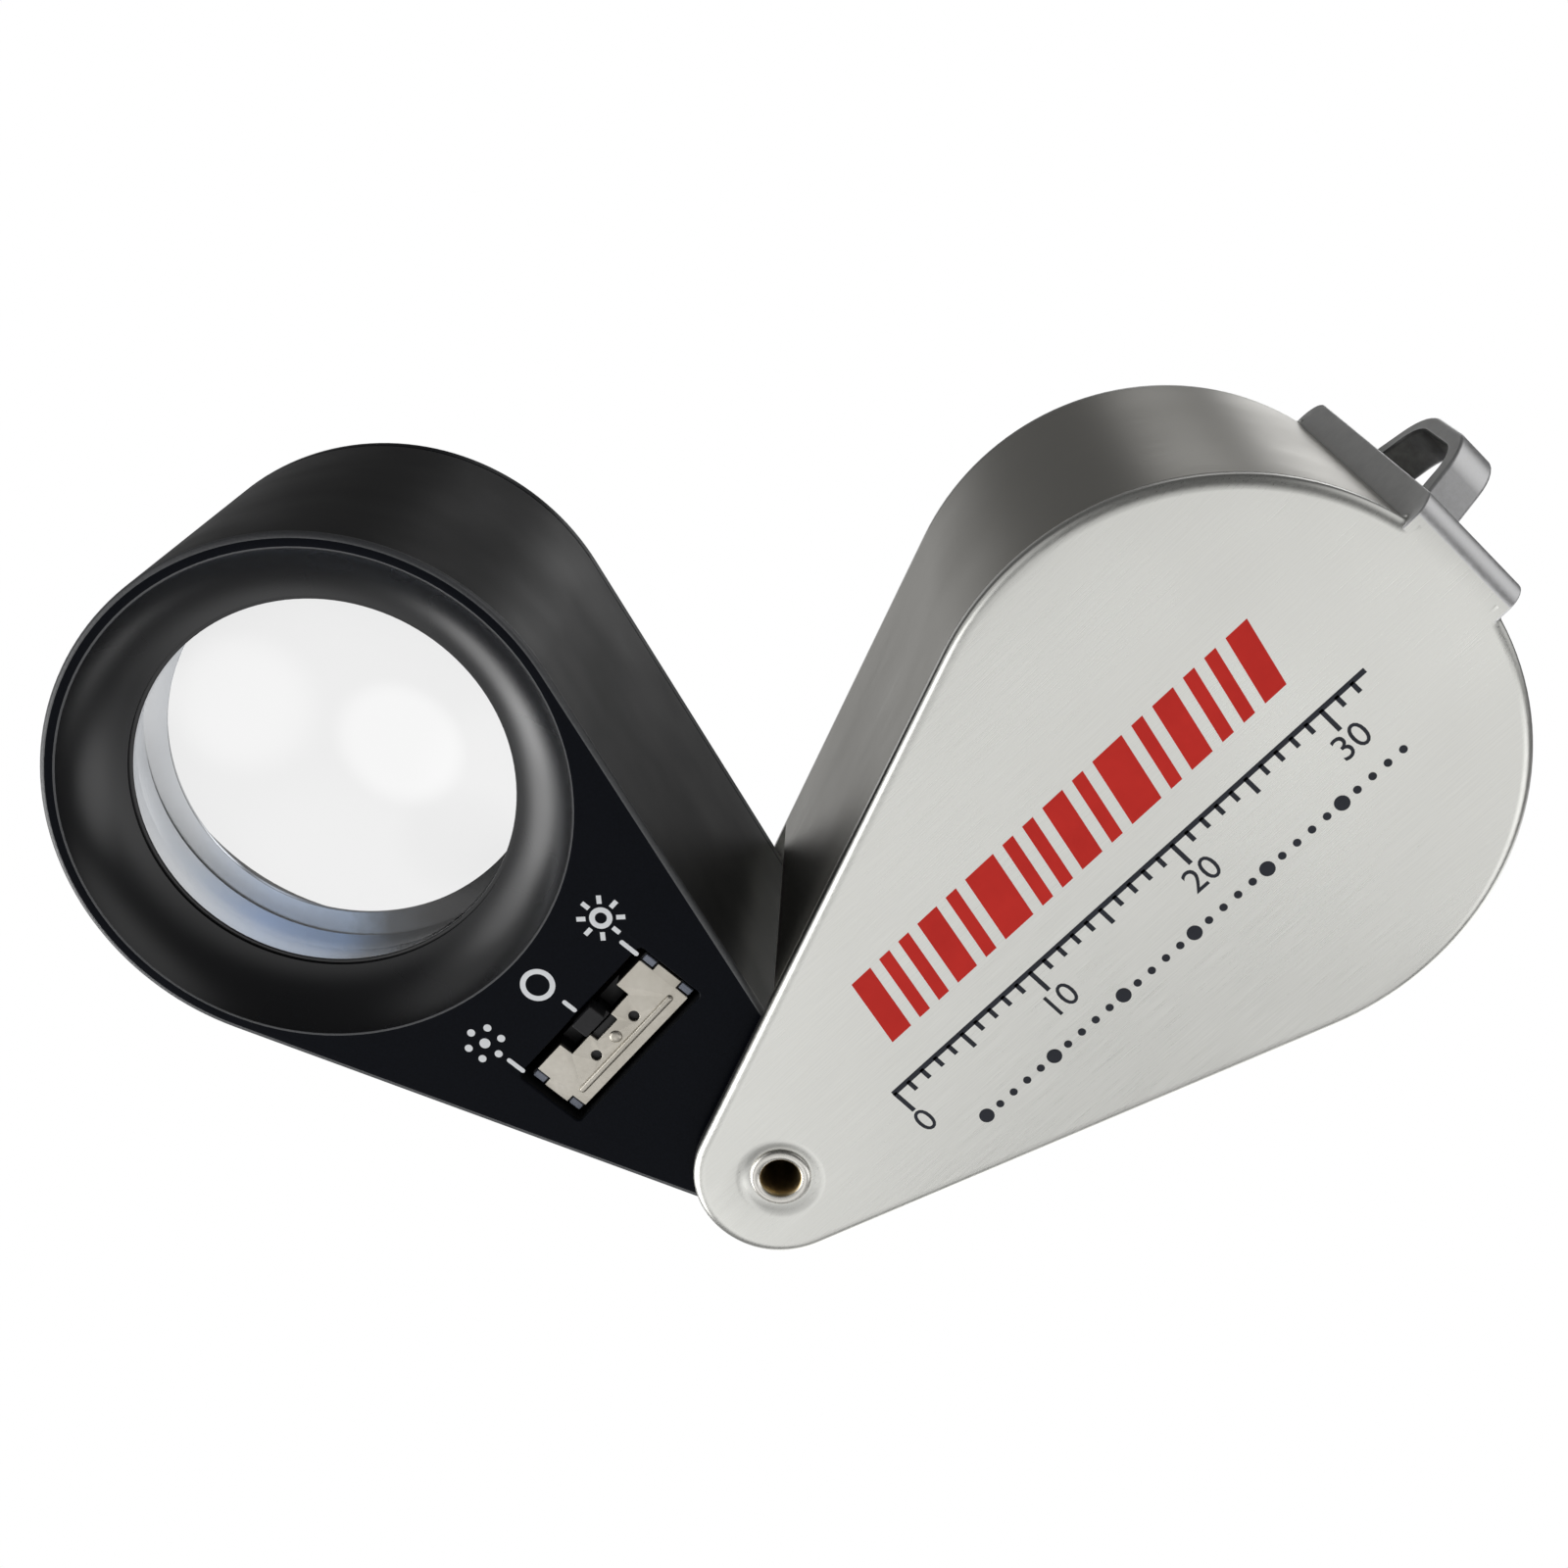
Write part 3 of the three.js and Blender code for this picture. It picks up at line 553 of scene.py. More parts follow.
# Painted reflection: the lens edge, the cell and the rear ring get a painted silvery and blue-grey reflection
# that fades to black towards the hinge.
LENS_EDGE_PAINTED_REFLECTION = edge_painted_reflection("lens_ground_edge")
GLASS = clear("lens_glass", (1.0, 1.0, 1.0), specular=0.3)
LED_CLEAR = clear("led_epoxy", (0.97, 0.97, 0.9), 0.05, 1.5)
LED_VIOLET = clear("uv_led_epoxy", (0.75, 0.65, 0.95), 0.05, 1.5)
SWITCH_METAL = polished("switch_nickel", (0.50, 0.47, 0.41), (0.60, 0.57, 0.51), 0.38)
SWITCH_TAB = polished("switch_tab_plastic", (0.16, 0.18, 0.23), (0.24, 0.26, 0.32), 0.45, 0.0)
SWITCH_BLACK = polished("switch_black_plastic", (0.006, 0.006, 0.007), (0.012, 0.012, 0.013), 0.5, 0.0)
KNOB_TOP = polished("knob_plastic", (0.009, 0.009, 0.010), (0.015, 0.015, 0.017), 0.5, 0.0, 0.35)
SCREW = polished("screw_steel", (0.45, 0.45, 0.45), (0.58, 0.58, 0.58), 0.28)
BOARD = polished("circuit_board", (0.01, 0.05, 0.025), (0.02, 0.09, 0.04), 0.4, 0.0)
PLASTIC = polished("black_moulding", (0.010, 0.010, 0.011), (0.018, 0.018, 0.020), 0.45, 0.0)
CELL = polished("cell_plating", (0.55, 0.55, 0.54), (0.7, 0.7, 0.69), 0.18)
WIRE = polished("wire_insulation", (0.35, 0.02, 0.02), (0.5, 0.04, 0.04), 0.4, 0.0)
RED_INK = polished("red_ink", (0.60, 0.020, 0.013), (0.68, 0.026, 0.017), 0.45, 0.0, 0.2)
BLACK_INK = polished("black_ink", (0.006, 0.008, 0.016), (0.010, 0.013, 0.024), 0.4, 0.0, 0.4)
WHITE_INK = polished("white_ink", (0.78, 0.80, 0.82), (0.88, 0.90, 0.92), 0.45, 0.0, 0.4)


# ---------- cover ----------
def cover_outline():
    """The plate's teardrop, with small hollow fillets where the end strap leaves it."""
    turn = tangent_angle(COVER_BIG, COVER_SMALL)
    side = STRAP_HALF_WIDTH + STRAP_FILLET
    reach = math.sqrt((COVER_BIG + STRAP_FILLET) ** 2 - side**2)
    leave = math.atan2(side, reach)
    strap_end = STRAP_TOP - STRAP_THICK
    lower = arc(SPAN, 0, COVER_BIG, -turn, -leave, 40)
    lower += arc(SPAN + reach, -side, STRAP_FILLET, math.pi - leave, math.pi / 2, 5)[1:]
    upper = arc(SPAN + reach, side, STRAP_FILLET, -math.pi / 2, leave - math.pi, 5)[:-1]
    upper += arc(SPAN, 0, COVER_BIG, leave, turn, 40)
    ends = [(strap_end, -STRAP_HALF_WIDTH), (strap_end, STRAP_HALF_WIDTH)]
    return lower + ends + upper + arc(0, 0, COVER_SMALL, turn, 2 * math.pi - turn, 32)


def cover_plate(side):
    """side is -1 for the front plate and 1 for the rear one."""
    shell = Shell()
    outside = side * COVER_HALF
    inside = side * (COVER_HALF - PLATE)
    outline = cover_outline()
    outer_side, outer_face = shell.edge(outline, outside, -side, PLATE_EDGE, steps=6, spread=PLATE_SPREAD)
    inner_side, inner_face = shell.edge(outline, inside, side, 0.06, steps=2)
    shell.bridge(outer_side, inner_side)
    sunk = outside - side * DIMPLE_DEPTH
    profile = [
        (DIMPLE, outside),
        (DIMPLE - 0.14, outside - side * 0.01),
        (DIMPLE - 0.3, outside - side * 0.045),
        (DIMPLE - 0.48, outside - side * 0.11),
        (DIMPLE - 0.64, outside - side * 0.175),
        (DIMPLE - 0.78, sunk + side * 0.01),
        (RIVET_FLANGE, sunk),
        (PLATE_HOLE, sunk),
        (PLATE_HOLE, inside),
    ]
    rings = shell.stack(0, 0, profile, 64)
    shell.cap([outer_face, rings[0]])
    shell.cap([inner_face, rings[-1]])
    return shell


def side_wall():
    turn = tangent_angle(COVER_BIG, COVER_SMALL)
    end = math.radians(WALL_END_ANGLE)
    along = Vector((math.sin(turn), -math.cos(turn)))
    out = Vector((math.cos(turn), math.sin(turn)))
    start_outside = along * WALL_START + out * COVER_SMALL
    start_inside = along * WALL_START + out * (COVER_SMALL - WALL)
    outline = arc(SPAN, 0, COVER_BIG, end, turn, 72)
    outline += [tuple(start_outside), tuple(start_inside)]
    outline += arc(SPAN, 0, COVER_BIG - WALL, turn, end, 72)
    reach = COVER_HALF - PLATE
    return slab(outline, -reach, reach, low_edge=0.02, high_edge=0.02, steps=2)


def end_strap():
    """A strip folded back from the front plate to the rear one, cut along its middle for the bail."""
    inner = STRAP_TOP - STRAP_THICK
    bend = STRAP_THICK
    reach = COVER_HALF - PLATE
    tongue = inner - PLATE_EDGE * PLATE_SPREAD
    profile = [(tongue, -reach), (tongue, -COVER_HALF)]
    profile += arc(inner, bend - COVER_HALF, bend, -math.pi / 2, 0, 8)[1:]
    profile += arc(inner, COVER_HALF - bend, bend, 0, math.pi / 2, 8)
    profile += [(tongue, COVER_HALF), (tongue, reach)]
    strap = slab(profile, -STRAP_HALF_WIDTH, STRAP_HALF_WIDTH, low_edge=0.12, high_edge=0.12, across=True)
    half = BAIL_WIDTH / 2 + BAIL_GAP
    path = rectangle(inner - 2, STRAP_TOP + 2, BAIL_MIDDLE - half, BAIL_MIDDLE + half)
    return strap, prism(path, BAIL_FRONT - BAIL_GAP, BAIL_REAR + BAIL_GAP)


def carved(name, shell, cutter):
    """The shell's mesh with the cutter's volume taken away."""
    thing = bpy.data.objects.new(name, shell.mesh(name))
    knife = bpy.data.objects.new(name + "_knife", cutter.mesh(name + "_knife"))
    for item in (thing, knife):
        bpy.context.scene.collection.objects.link(item)
    cut = thing.modifiers.new("cut", "BOOLEAN")
    cut.object = knife
    cut.operation = "DIFFERENCE"
    cut.solver = "EXACT"
    bpy.context.view_layer.update()
    graph = bpy.context.evaluated_depsgraph_get()
    made = bpy.data.meshes.new_from_object(thing.evaluated_get(graph))
    for item in (thing, knife):
        bpy.data.objects.remove(item)
    made.set_sharp_from_angle(angle=math.radians(35))
    return made


def bail():
    """The lanyard loop: a strip bent up from the strap, over and down again."""
    foot = STRAP_TOP - STRAP_THICK + 0.35
    front = BAIL_FRONT + BAIL_LEAN
    rear = BAIL_REAR - BAIL_LEAN
    inner_crown = BAIL_CROWN - BAIL_THICK
    inner_bend = BAIL_BEND - BAIL_THICK
    corners = [
        (foot, BAIL_FRONT, 0.1),
        (STRAP_TOP - 0.2, BAIL_FRONT, 0.8),
        (BAIL_CROWN, front, BAIL_BEND),
        (BAIL_CROWN, rear, BAIL_BEND),
        (STRAP_TOP - 0.2, BAIL_REAR, 0.8),
        (foot, BAIL_REAR, 0.1),
        (foot, BAIL_REAR - BAIL_THICK, 0.1),
        (inner_crown, rear - BAIL_THICK / 2, inner_bend),
        (inner_crown, front + BAIL_THICK / 2, inner_bend),
        (foot, BAIL_FRONT + BAIL_THICK, 0.1),
    ]
    low = BAIL_MIDDLE - BAIL_WIDTH / 2
    return slab(filleted(corners), low, low + BAIL_WIDTH, low_edge=0.25, high_edge=0.25, across=True)


for name, side in (("cover_front", -1), ("cover_rear", 1)):
    plate = cover_plate(side).mesh(name)
    place(name, plate, "cover", [STEEL_PLATE], [name + "_plate"])
place("cover_wall", side_wall().mesh("cover_wall"), "cover", [STEEL_WALL], ["cover_side_wall"])

def strap_meshes():
    """The strap, brushed like the plates where it lies in their plane, and the bail, with painted shade on
    its inner faces.
    """
    strap = carved("strap", *end_strap())
    for polygon in strap.polygons:
        in_plane = abs(polygon.normal.y) > 0.99 and abs(polygon.center.y) > 0.99 * COVER_HALF * MM
        polygon.material_index = 1 if in_plane else 2 if abs(polygon.normal.z) > 0.9 else 0
    loop = bail().mesh("bail")
    middle = Vector((STRAP_TOP, (BAIL_FRONT + BAIL_REAR) / 2, BAIL_MIDDLE)) * MM
    for polygon in loop.polygons:
        away = polygon.center - middle
        away.z = 0
        inside = polygon.normal.dot(away) < -0.3 * away.length
        # the bail's inner faces get the painted-shade steel
        polygon.material_index = 1 if inside else 2 if abs(polygon.normal.z) > 0.9 else 0
    return strap, loop


strap_mesh, bail_mesh = strap_meshes()
place("strap", strap_mesh, "cover", [STEEL_STRAP, STEEL_PLATE, STEEL_CUT], ["end_strap"])
place("bail", bail_mesh, "cover", [STEEL_STRAP, STEEL_PAINTED_SHADE, STEEL_CUT], ["lanyard_bail"])


# ---------- hinge ----------
def eyelet():
    """A tubular rivet with a rolled flange at each end, its bore widening towards the faces."""
    shell = Shell()
    half = COVER_HALF - DIMPLE_DEPTH
    flange = [
        (RIVET_BARREL, half),
        (RIVET_FLANGE - 0.03, half + 0.01),
        (RIVET_FLANGE, half + 0.08),
        (RIVET_FLANGE - 0.06, half + 0.15),
        (RIVET_FLANGE - 0.18, half + 0.19),
        (RIVET_FLANGE - 0.3, half + 0.2),
        (RIVET_MOUTH, half + 0.14),
        (RIVET_MOUTH - 0.1, half + 0.02),
        (RIVET_BORE + 0.06, half - 0.5),
        (RIVET_BORE, half - 1.1),
    ]
    looks = [0] * 6 + [1] * 3
    front = shell.stack(0, 0, [(radius, -depth) for radius, depth in flange], 64, looks=looks)
    rear = shell.stack(0, 0, flange, 64, looks=looks)
    shell.bridge(front[0], rear[0], 0)
    shell.bridge(front[-1], rear[-1], 1)
    return shell


RIVET_LOOKS = [EYELET, BRASS]
place("eyelet", eyelet().mesh("eyelet"), "cover", RIVET_LOOKS, ["hinge_rivet"])

washer_low = HOUSING_HALF + WASHER_GAP
front_low = -washer_low - WASHER_THICK
for name, low in (("front_friction_washer", front_low), ("rear_friction_washer", washer_low)):
    washer = turned(rounded_ring(WASHER_HOLE, WASHER_OUTER, low, low + WASHER_THICK, 0.05), segments=64)
    place(name + "_fine", washer.mesh(name), "cover", [SCREW], [name])
bush = turned(rounded_ring(BUSH_INNER, BUSH_OUTER, -HOUSING_HALF, HOUSING_HALF), segments=64)
place("bush", bush.mesh("bush"), "lens_unit", [BRASS], ["hinge_bush"])


# ---------- lens housing ----------
def bowl_profile():
    """From the front face down to the lens, steep at the rim and nearly flat beside the lens."""
    steep = math.radians(BOWL_STEEP)
    shallow = 2 * math.atan2(BOWL_DEPTH, BOWL_OUTER - BOWL_INNER) - steep
    bend = (BOWL_OUTER - BOWL_INNER) / (math.sin(steep) - math.sin(shallow))
    steps = 24
    profile = []
    for i in range(steps + 1):
        turn = steep + (shallow - steep) * i / steps
        radius = BOWL_OUTER - bend * (math.sin(steep) - math.sin(turn))
        profile.append((radius, -HOUSING_HALF + bend * (math.cos(turn) - math.cos(steep))))
    return profile


def bay_outline():
    slope = (HOUSING_BIG - HOUSING_SMALL) / SPAN
    scale = math.sqrt(1 - slope * slope)
    near = (HOUSING_SMALL - HOUSING_WALL + slope * BAY_NEAR) / scale
    far = (HOUSING_SMALL - HOUSING_WALL + slope * BAY_FAR) / scale
    corners = [(BAY_NEAR, -near, 1.5), (BAY_FAR, -far, 1), (BAY_FAR, far, 1), (BAY_NEAR, near, 1.5)]
    return filleted(corners)[::-1]


def lens_housing():
    """Materials: 0 face, 1 rim, 2 side, 3 bowl, 4 inside."""
    shell = Shell()
    seat = HOUSING_HALF - REAR_COVER_THICK
    outline = teardrop(HOUSING_BIG, HOUSING_SMALL)
    side_front, face_front = shell.edge(outline, -HOUSING_HALF, 1, 0.3, look=1, steps=4)
    side_rear, face_rear = shell.edge(outline, seat, -1, 0.08, look=2, steps=2)
    shell.bridge(side_front, side_rear, 2)

    lip = [(BOWL_INNER, -HOUSING_HALF + BOWL_DEPTH + LIP_THICK)]
    bore = [(CELL_BORE, lip[0][1]), (CELL_BORE, seat)]
    rim = [(BOWL_OUTER + 0.12, -HOUSING_HALF), (BOWL_OUTER + 0.03, -HOUSING_HALF + 0.03)]
    bowl = bowl_profile()
    profile = rim + bowl + lip + bore
    looks = [1] * 2 + [3] * (len(bowl) - 1) + [3, 4, 4]
    bowl_loops = shell.stack(SPAN, 0, profile, SEGMENTS, looks=looks)

    bush_loops = shell.stack(0, 0, [(BUSH_HOLE, -HOUSING_HALF), (BUSH_HOLE, seat)], 48, look=4)

    pocket = rectangle(
        SWITCH_X - SWITCH_HALF_X - POCKET_GAP,
        SWITCH_X + SWITCH_HALF_X + 2 * POCKET_GAP,
        SWITCH_Z - SWITCH_HALF_Z - POCKET_GAP,
        SWITCH_Z + SWITCH_HALF_Z + POCKET_GAP,
        corner=0.3,
        hole=True,
    )
    pocket_side, pocket_face = shell.edge(pocket, -HOUSING_HALF, 1, 0.12, look=0, steps=3)
    pocket_low = shell.loop(pocket, BAY_FRONT)
    shell.bridge(pocket_side, pocket_low, 2)

    bay = bay_outline()
    bay_low = shell.loop(bay, BAY_FRONT)
    bay_high = shell.loop(bay, seat)
    shell.bridge(bay_low, bay_high, 4)
    shell.cap([bay_low, pocket_low], 4)

    shell.cap([face_front, bowl_loops[0], bush_loops[0], pocket_face], 0)
    shell.cap([face_rear, bowl_loops[-1], bush_loops[-1], bay_high], 4)
    return shell


HOUSING_LOOKS = [BLACK_FACE, BLACK_RIM_PAINTED_HIGHLIGHT, BLACK_SIDE, BLACK_BOWL, BLACK_INSIDE]
place(
    "housing", lens_housing().mesh("housing"), "lens_unit", HOUSING_LOOKS, ["lens_housing"]
)


# ---------- rear of the housing ----------
def rear_cover():
    half = DOOR["half"] + DOOR_GAP
    holes = [
        circle(SPAN, 0, REAR_OPENING, hole=True),
        circle(0, 0, BUSH_HOLE, 48, hole=True),
        rectangle(DOOR["x0"] - DOOR_GAP, DOOR["x1"] + DOOR_GAP, -half, half, 0.5, hole=True),
    ]
    holes += [circle(x, z, SCREW_SINK, 32, hole=True) for x, z in SCREW_PLACES]
    low = HOUSING_HALF - REAR_COVER_THICK
    outline = teardrop(HOUSING_BIG, HOUSING_SMALL)
    return slab(outline, low, HOUSING_HALF, holes, low_edge=0.05, high_edge=0.25)


def battery_door():
    high = DOOR["low"] + DOOR["thick"]
    hole = circle(*DOOR_SCREW_PLACE, 0.85, 32, hole=True)
    blank = rectangle(DOOR["x0"], DOOR["x1"], -DOOR["half"], DOOR["half"], 0.5)
    shell = slab(blank, DOOR["low"], high, [hole], high_edge=0.15)
    for i in range(5):
        x = 8.4 + 1.1 * i
        rib = slab(rectangle(x, x + 0.5, -2.6, 2.6, 0.2), high - 0.1, high + 0.28, high_edge=0.15)
        start = len(shell.points)
        shell.points += rib.points
        shell.faces += [tuple(start + i for i in face) for face in rib.faces]
        shell.looks += rib.looks
    return shell


def screw(x, z, top, length):
    """A round head with a straight slot on a plain shank."""
    profile = [
        (0, top - length),
        (0.5, top - length),
        (0.6, top - length + 0.15),
        (0.6, top - 0.45),
        (SCREW_HEAD, top - 0.42),
        (SCREW_HEAD, top - 0.12),
        (SCREW_HEAD - 0.04, top - 0.04),
        (SCREW_HEAD - 0.14, top),
        (0, top),
    ]
    path = rectangle(x - 2, x + 2, z - SCREW_SLOT, z + SCREW_SLOT)
    return turned(profile, x, z, 32), prism(path, top - 0.25, top + 1)


rear_mesh = rear_cover().mesh("rear_cover_fine")
place("rear_cover_fine", rear_mesh, "lens_unit", [BLACK_FACE], ["rear_cover"])
place("door", battery_door().mesh("door"), "lens_unit", [BLACK_SIDE], ["battery_door"])
for i, (x, z) in enumerate(SCREW_PLACES, 1):
    made = carved(f"rear_screw_{i}", *screw(x, z, HOUSING_HALF - 0.05, 4))
    place(f"rear_screw_{i}", made, "lens_unit", [SCREW], [f"rear_cover_screw_{i}"])
door_top = DOOR["low"] + DOOR["thick"]
made = carved("door_screw", *screw(*DOOR_SCREW_PLACE, door_top + 0.42, 3))
place("door_screw", made, "lens_unit", [SCREW], ["battery_door_screw"])


# ---------- lens ----------
def triplet():
    """The cemented triplet as one glass block. Materials: 0 glass, 1 its edge."""
    bend = (LENS_RADIUS**2 + LENS_SAG**2) / (2 * LENS_SAG)
    steps = 28
    rear_apex = LENS_APEX + TRIPLET_THICK
    front = []
    rear = []
    for i in range(1, steps + 1):
        radius = LENS_RADIUS * i / steps
        sag = bend - math.sqrt(bend * bend - radius * radius)
        front.append((radius, LENS_APEX + sag))
        rear.append((radius, rear_apex - sag))
    shell = Shell()
    loops = shell.stack(SPAN, 0, front + rear[::-1], 96, looks=[0] * (steps - 1) + [1] + [0] * (steps - 1))
    shell.fan(loops[0], (SPAN, 0), LENS_APEX)
    shell.fan(loops[-1], (SPAN, 0), rear_apex)
    return shell


place(
    "triplet",
    triplet().mesh("triplet", 60),
    "lens_unit",
    [GLASS, LENS_EDGE_PAINTED_REFLECTION],
    ["front_lens", "middle_lens", "rear_lens"],
)

rear_edge = LENS_APEX + TRIPLET_THICK - LENS_SAG
lip_back = -HOUSING_HALF + BOWL_DEPTH + LIP_THICK
RINGS = [
    ("cell", CELL_INNER, CELL_OUTER, lip_back + 0.2, 7.6, "housing_black", LENS_EDGE_PAINTED_REFLECTION, "lens_cell"),
    (
        "front_ring", 10.2, 10.75, lip_back + 0.01, lip_back + 0.17,
        "ring_black", BLACK_BOWL, "front_retaining_ring"
    ),
    (
        "rear_ring", 9.3, 10.65, rear_edge + 0.45, rear_edge + 1.05,
        "ring_black", LENS_EDGE_PAINTED_REFLECTION, "rear_retaining_ring"
    ),
    ("board", 10.9, CELL_OUTER, BOARD_TOP - 0.6, BOARD_TOP, "circuit_board", BOARD, "led_board"),
]
for name, inner, outer, low, high, slot_name, look, node in RINGS:
    profile = rounded_ring(inner, outer, low, high, 0.06)
    place(name, turned(profile, SPAN).mesh(name), "lens_unit", [look], [node])

led_places = []
for i in range(LED_COUNT):
    turn = 2 * math.pi * (i + 0.5) / LED_COUNT
    led_places.append((SPAN + LED_CIRCLE * math.cos(turn), LED_CIRCLE * math.sin(turn)))
bezel_holes = [circle(SPAN, 0, 10.5, hole=True)]
bezel_holes += [circle(x, z, LED_RADIUS + 0.1, 32, hole=True) for x, z in led_places]
bezel = slab(circle(SPAN, 0, 12.45), BOARD_TOP + 0.2, BOARD_TOP + 0.8, bezel_holes, 0.05, 0.05)
place("bezel", bezel.mesh("bezel"), "lens_unit", [PLASTIC], ["led_bezel"])
for i, (x, z) in enumerate(led_places):
    kind = ("uv_led", "uv_led_epoxy", LED_VIOLET) if i % 2 else ("white_led", "white_led_epoxy", LED_CLEAR)
    number = i // 2 + 1
    dome = [(0, BOARD_TOP), (LED_RADIUS, BOARD_TOP)]
    dome += [
        (LED_RADIUS * math.cos(t * math.pi / 16), BOARD_TOP + 0.7 + 0.8 * math.sin(t * math.pi / 16))
        for t in range(8)
    ]
    dome.append((0, BOARD_TOP + 1.5))
    light = turned(dome, x, z, 32)
    node = f"{kind[0]}_{number}"
    place(node + "_dome", light.mesh(node + "_dome"), "lens_unit", [kind[2]], [node])


# ---------- slide switch ----------
def local(points):
    """Points given from the middle of the switch."""
    return [(SWITCH_X + x, SWITCH_Z + z, *rest) for x, z, *rest in points]


def switch_frame():
    half_x = SWITCH_HALF_X
    half_z = SWITCH_HALF_Z
    inner_z = half_z - 0.5
    tongue = 0.8
    notch = half_x - NOTCH_DEPTH
    deep = notch - STEP_DEPTH
    corners = [
        (-half_x, -inner_z, 0.08),
        (-tongue, -inner_z, 0),
        (-tongue, -half_z, 0.05),
        (tongue, -half_z, 0.05),
        (tongue, -inner_z, 0),
        (half_x, -inner_z, 0.08),
        (half_x, -NOTCH_HALF, 0.05),
        (notch, -NOTCH_HALF, 0.05),
        (notch, -STEP_HALF, 0.05),
        (deep, -STEP_HALF, 0.05),
        (deep, STEP_HALF, 0.05),
        (notch, STEP_HALF, 0.05),
        (notch, NOTCH_HALF, 0.05),
        (half_x, NOTCH_HALF, 0.05),
        (half_x, inner_z, 0.08),
        (tongue, inner_z, 0),
        (tongue, half_z, 0.05),
        (-tongue, half_z, 0.05),
        (-tongue, inner_z, 0),
        (-half_x, inner_z, 0.08),
    ]
    holes = [circle(SWITCH_X - 0.2, SWITCH_Z + z, 0.3, 24, hole=True) for z in (-1.6, 1.6)]
    outline = filleted(local(corners))
    return slab(outline, SWITCH_TOP, SWITCH_TOP + FRAME_THICK, holes, 0.05, 0.03, steps=3)


def switch_rib():
    """The long ridge pressed into the frame beside the hinge-side edge."""
    shell = Shell()
    path = rectangle(SWITCH_X - 1.15, SWITCH_X - 0.75, SWITCH_Z - 3.9, SWITCH_Z + 3.9, 0.19)
    loops = [shell.loop(path, SWITCH_TOP + 0.05)]
    for inset, rise in ((0.0, 0.02), (0.04, 0.09), (0.1, 0.13), (0.16, 0.15)):
        loops.append(shell.loop(offset(path, inset), SWITCH_TOP - rise))
    for one, other in zip(loops, loops[1:]):
        shell.bridge(one, other)
    shell.cap([loops[0]])
    shell.cap([loops[-1]])
    return shell


def switch_dimple():
    steps = 8
    profile = [(0, SWITCH_TOP + 0.05)]
    for i in range(steps):
        turn = math.pi / 2 * i / steps
        profile.append((0.36 * math.cos(turn), SWITCH_TOP - 0.16 * math.sin(turn)))
    profile.append((0, SWITCH_TOP - 0.16))
    return turned(profile, SWITCH_X - 0.25, SWITCH_Z, 32)


def merged(name, *shells):
    whole = Shell()
    for shell in shells:
        start = len(whole.points)
        whole.points += shell.points
        whole.faces += [tuple(start + i for i in face) for face in shell.faces]
        whole.looks += shell.looks
    return whole.mesh(name)


def switch_base():
    base_low = SWITCH_TOP + FRAME_THICK
    base_high = base_low + BASE_DEPTH
    x0 = SWITCH_X - SWITCH_HALF_X
    x1 = SWITCH_X + SWITCH_HALF_X
    z0 = SWITCH_Z - SWITCH_HALF_Z
    z1 = SWITCH_Z + SWITCH_HALF_Z
    slot = x1 - SLOT_WIDTH
    body = slab(rectangle(x0, slot, z0, z1, 0.1), base_low, base_high, low_edge=0.04)
    floor = slab(rectangle(slot, x1, z0, z1, 0.1), base_low + 1.0, base_high, low_edge=0.04)
    ends = []
    for low, high in ((z0, SWITCH_Z - NOTCH_HALF), (SWITCH_Z + NOTCH_HALF, z1)):
        ends.append(slab(rectangle(slot, x1, low, high, 0.1), base_low, base_high, low_edge=0.04))
    return [body, floor, *ends]


def switch_tabs():
    tabs = []
    for side_x in (-1, 1):
        for side_z in (-1, 1):
            x = SWITCH_X + side_x * 1.26
            z = SWITCH_Z + side_z * (SWITCH_HALF_Z - 0.22)
            path = rectangle(x - 0.36, x + 0.36, z - 0.2, z + 0.2, 0.06)
            tabs.append(slab(path, SWITCH_TOP + 0.06, SWITCH_TOP + 0.5, low_edge=0.05))
    return tabs


def knob():
    """A thin top in front of the frame's notch, on a post that runs in the base behind the frame."""
    edge_x = SWITCH_X + SWITCH_HALF_X
    front = edge_x + 0.38
    post = rectangle(edge_x - 0.9, front - 0.4, SWITCH_Z - 0.75, SWITCH_Z + 0.75, 0.08)
    top = rectangle(edge_x - 0.63, front, SWITCH_Z - 0.8, SWITCH_Z + 0.8, 0.1)
    return [
        slab(post, SWITCH_TOP + FRAME_THICK + 0.05, SWITCH_TOP + 1.1, low_edge=0.05),
        slab(top, -HOUSING_HALF - 0.25, SWITCH_TOP + 0.35, low_edge=0.06),
    ]


stamped = merged("switch_stamping", switch_frame(), switch_rib(), switch_dimple())
place("switch_stamping", stamped, "lens_unit", [SWITCH_METAL], ["switch_frame"])
base = merged("switch_body", *switch_base())
place("switch_body", base, "lens_unit", [SWITCH_BLACK], ["switch_base"])
place("switch_tabs", merged("switch_tabs", *switch_tabs()), "lens_unit", [SWITCH_TAB])
place("knob", merged("knob", *knob()), "switch_knob", [KNOB_TOP], ["switch_slider"])


# ---------- printed marks ----------
def mark(outline, face):
    """A thin printed patch just proud of a face that looks towards -Y."""
    return slab(outline, face - PRINT_THICK, face + 0.002, low_edge=0.003, high_edge=0.001, steps=1)


def bar(x0, x1, z0, z1, corner=0.0):
    return rectangle(x0, x1, z0, z1, corner)


def slanted(x, width, low, high, lean):
    return [(x, low), (x + width, low), (x + width + lean, high), (x + lean, high)]


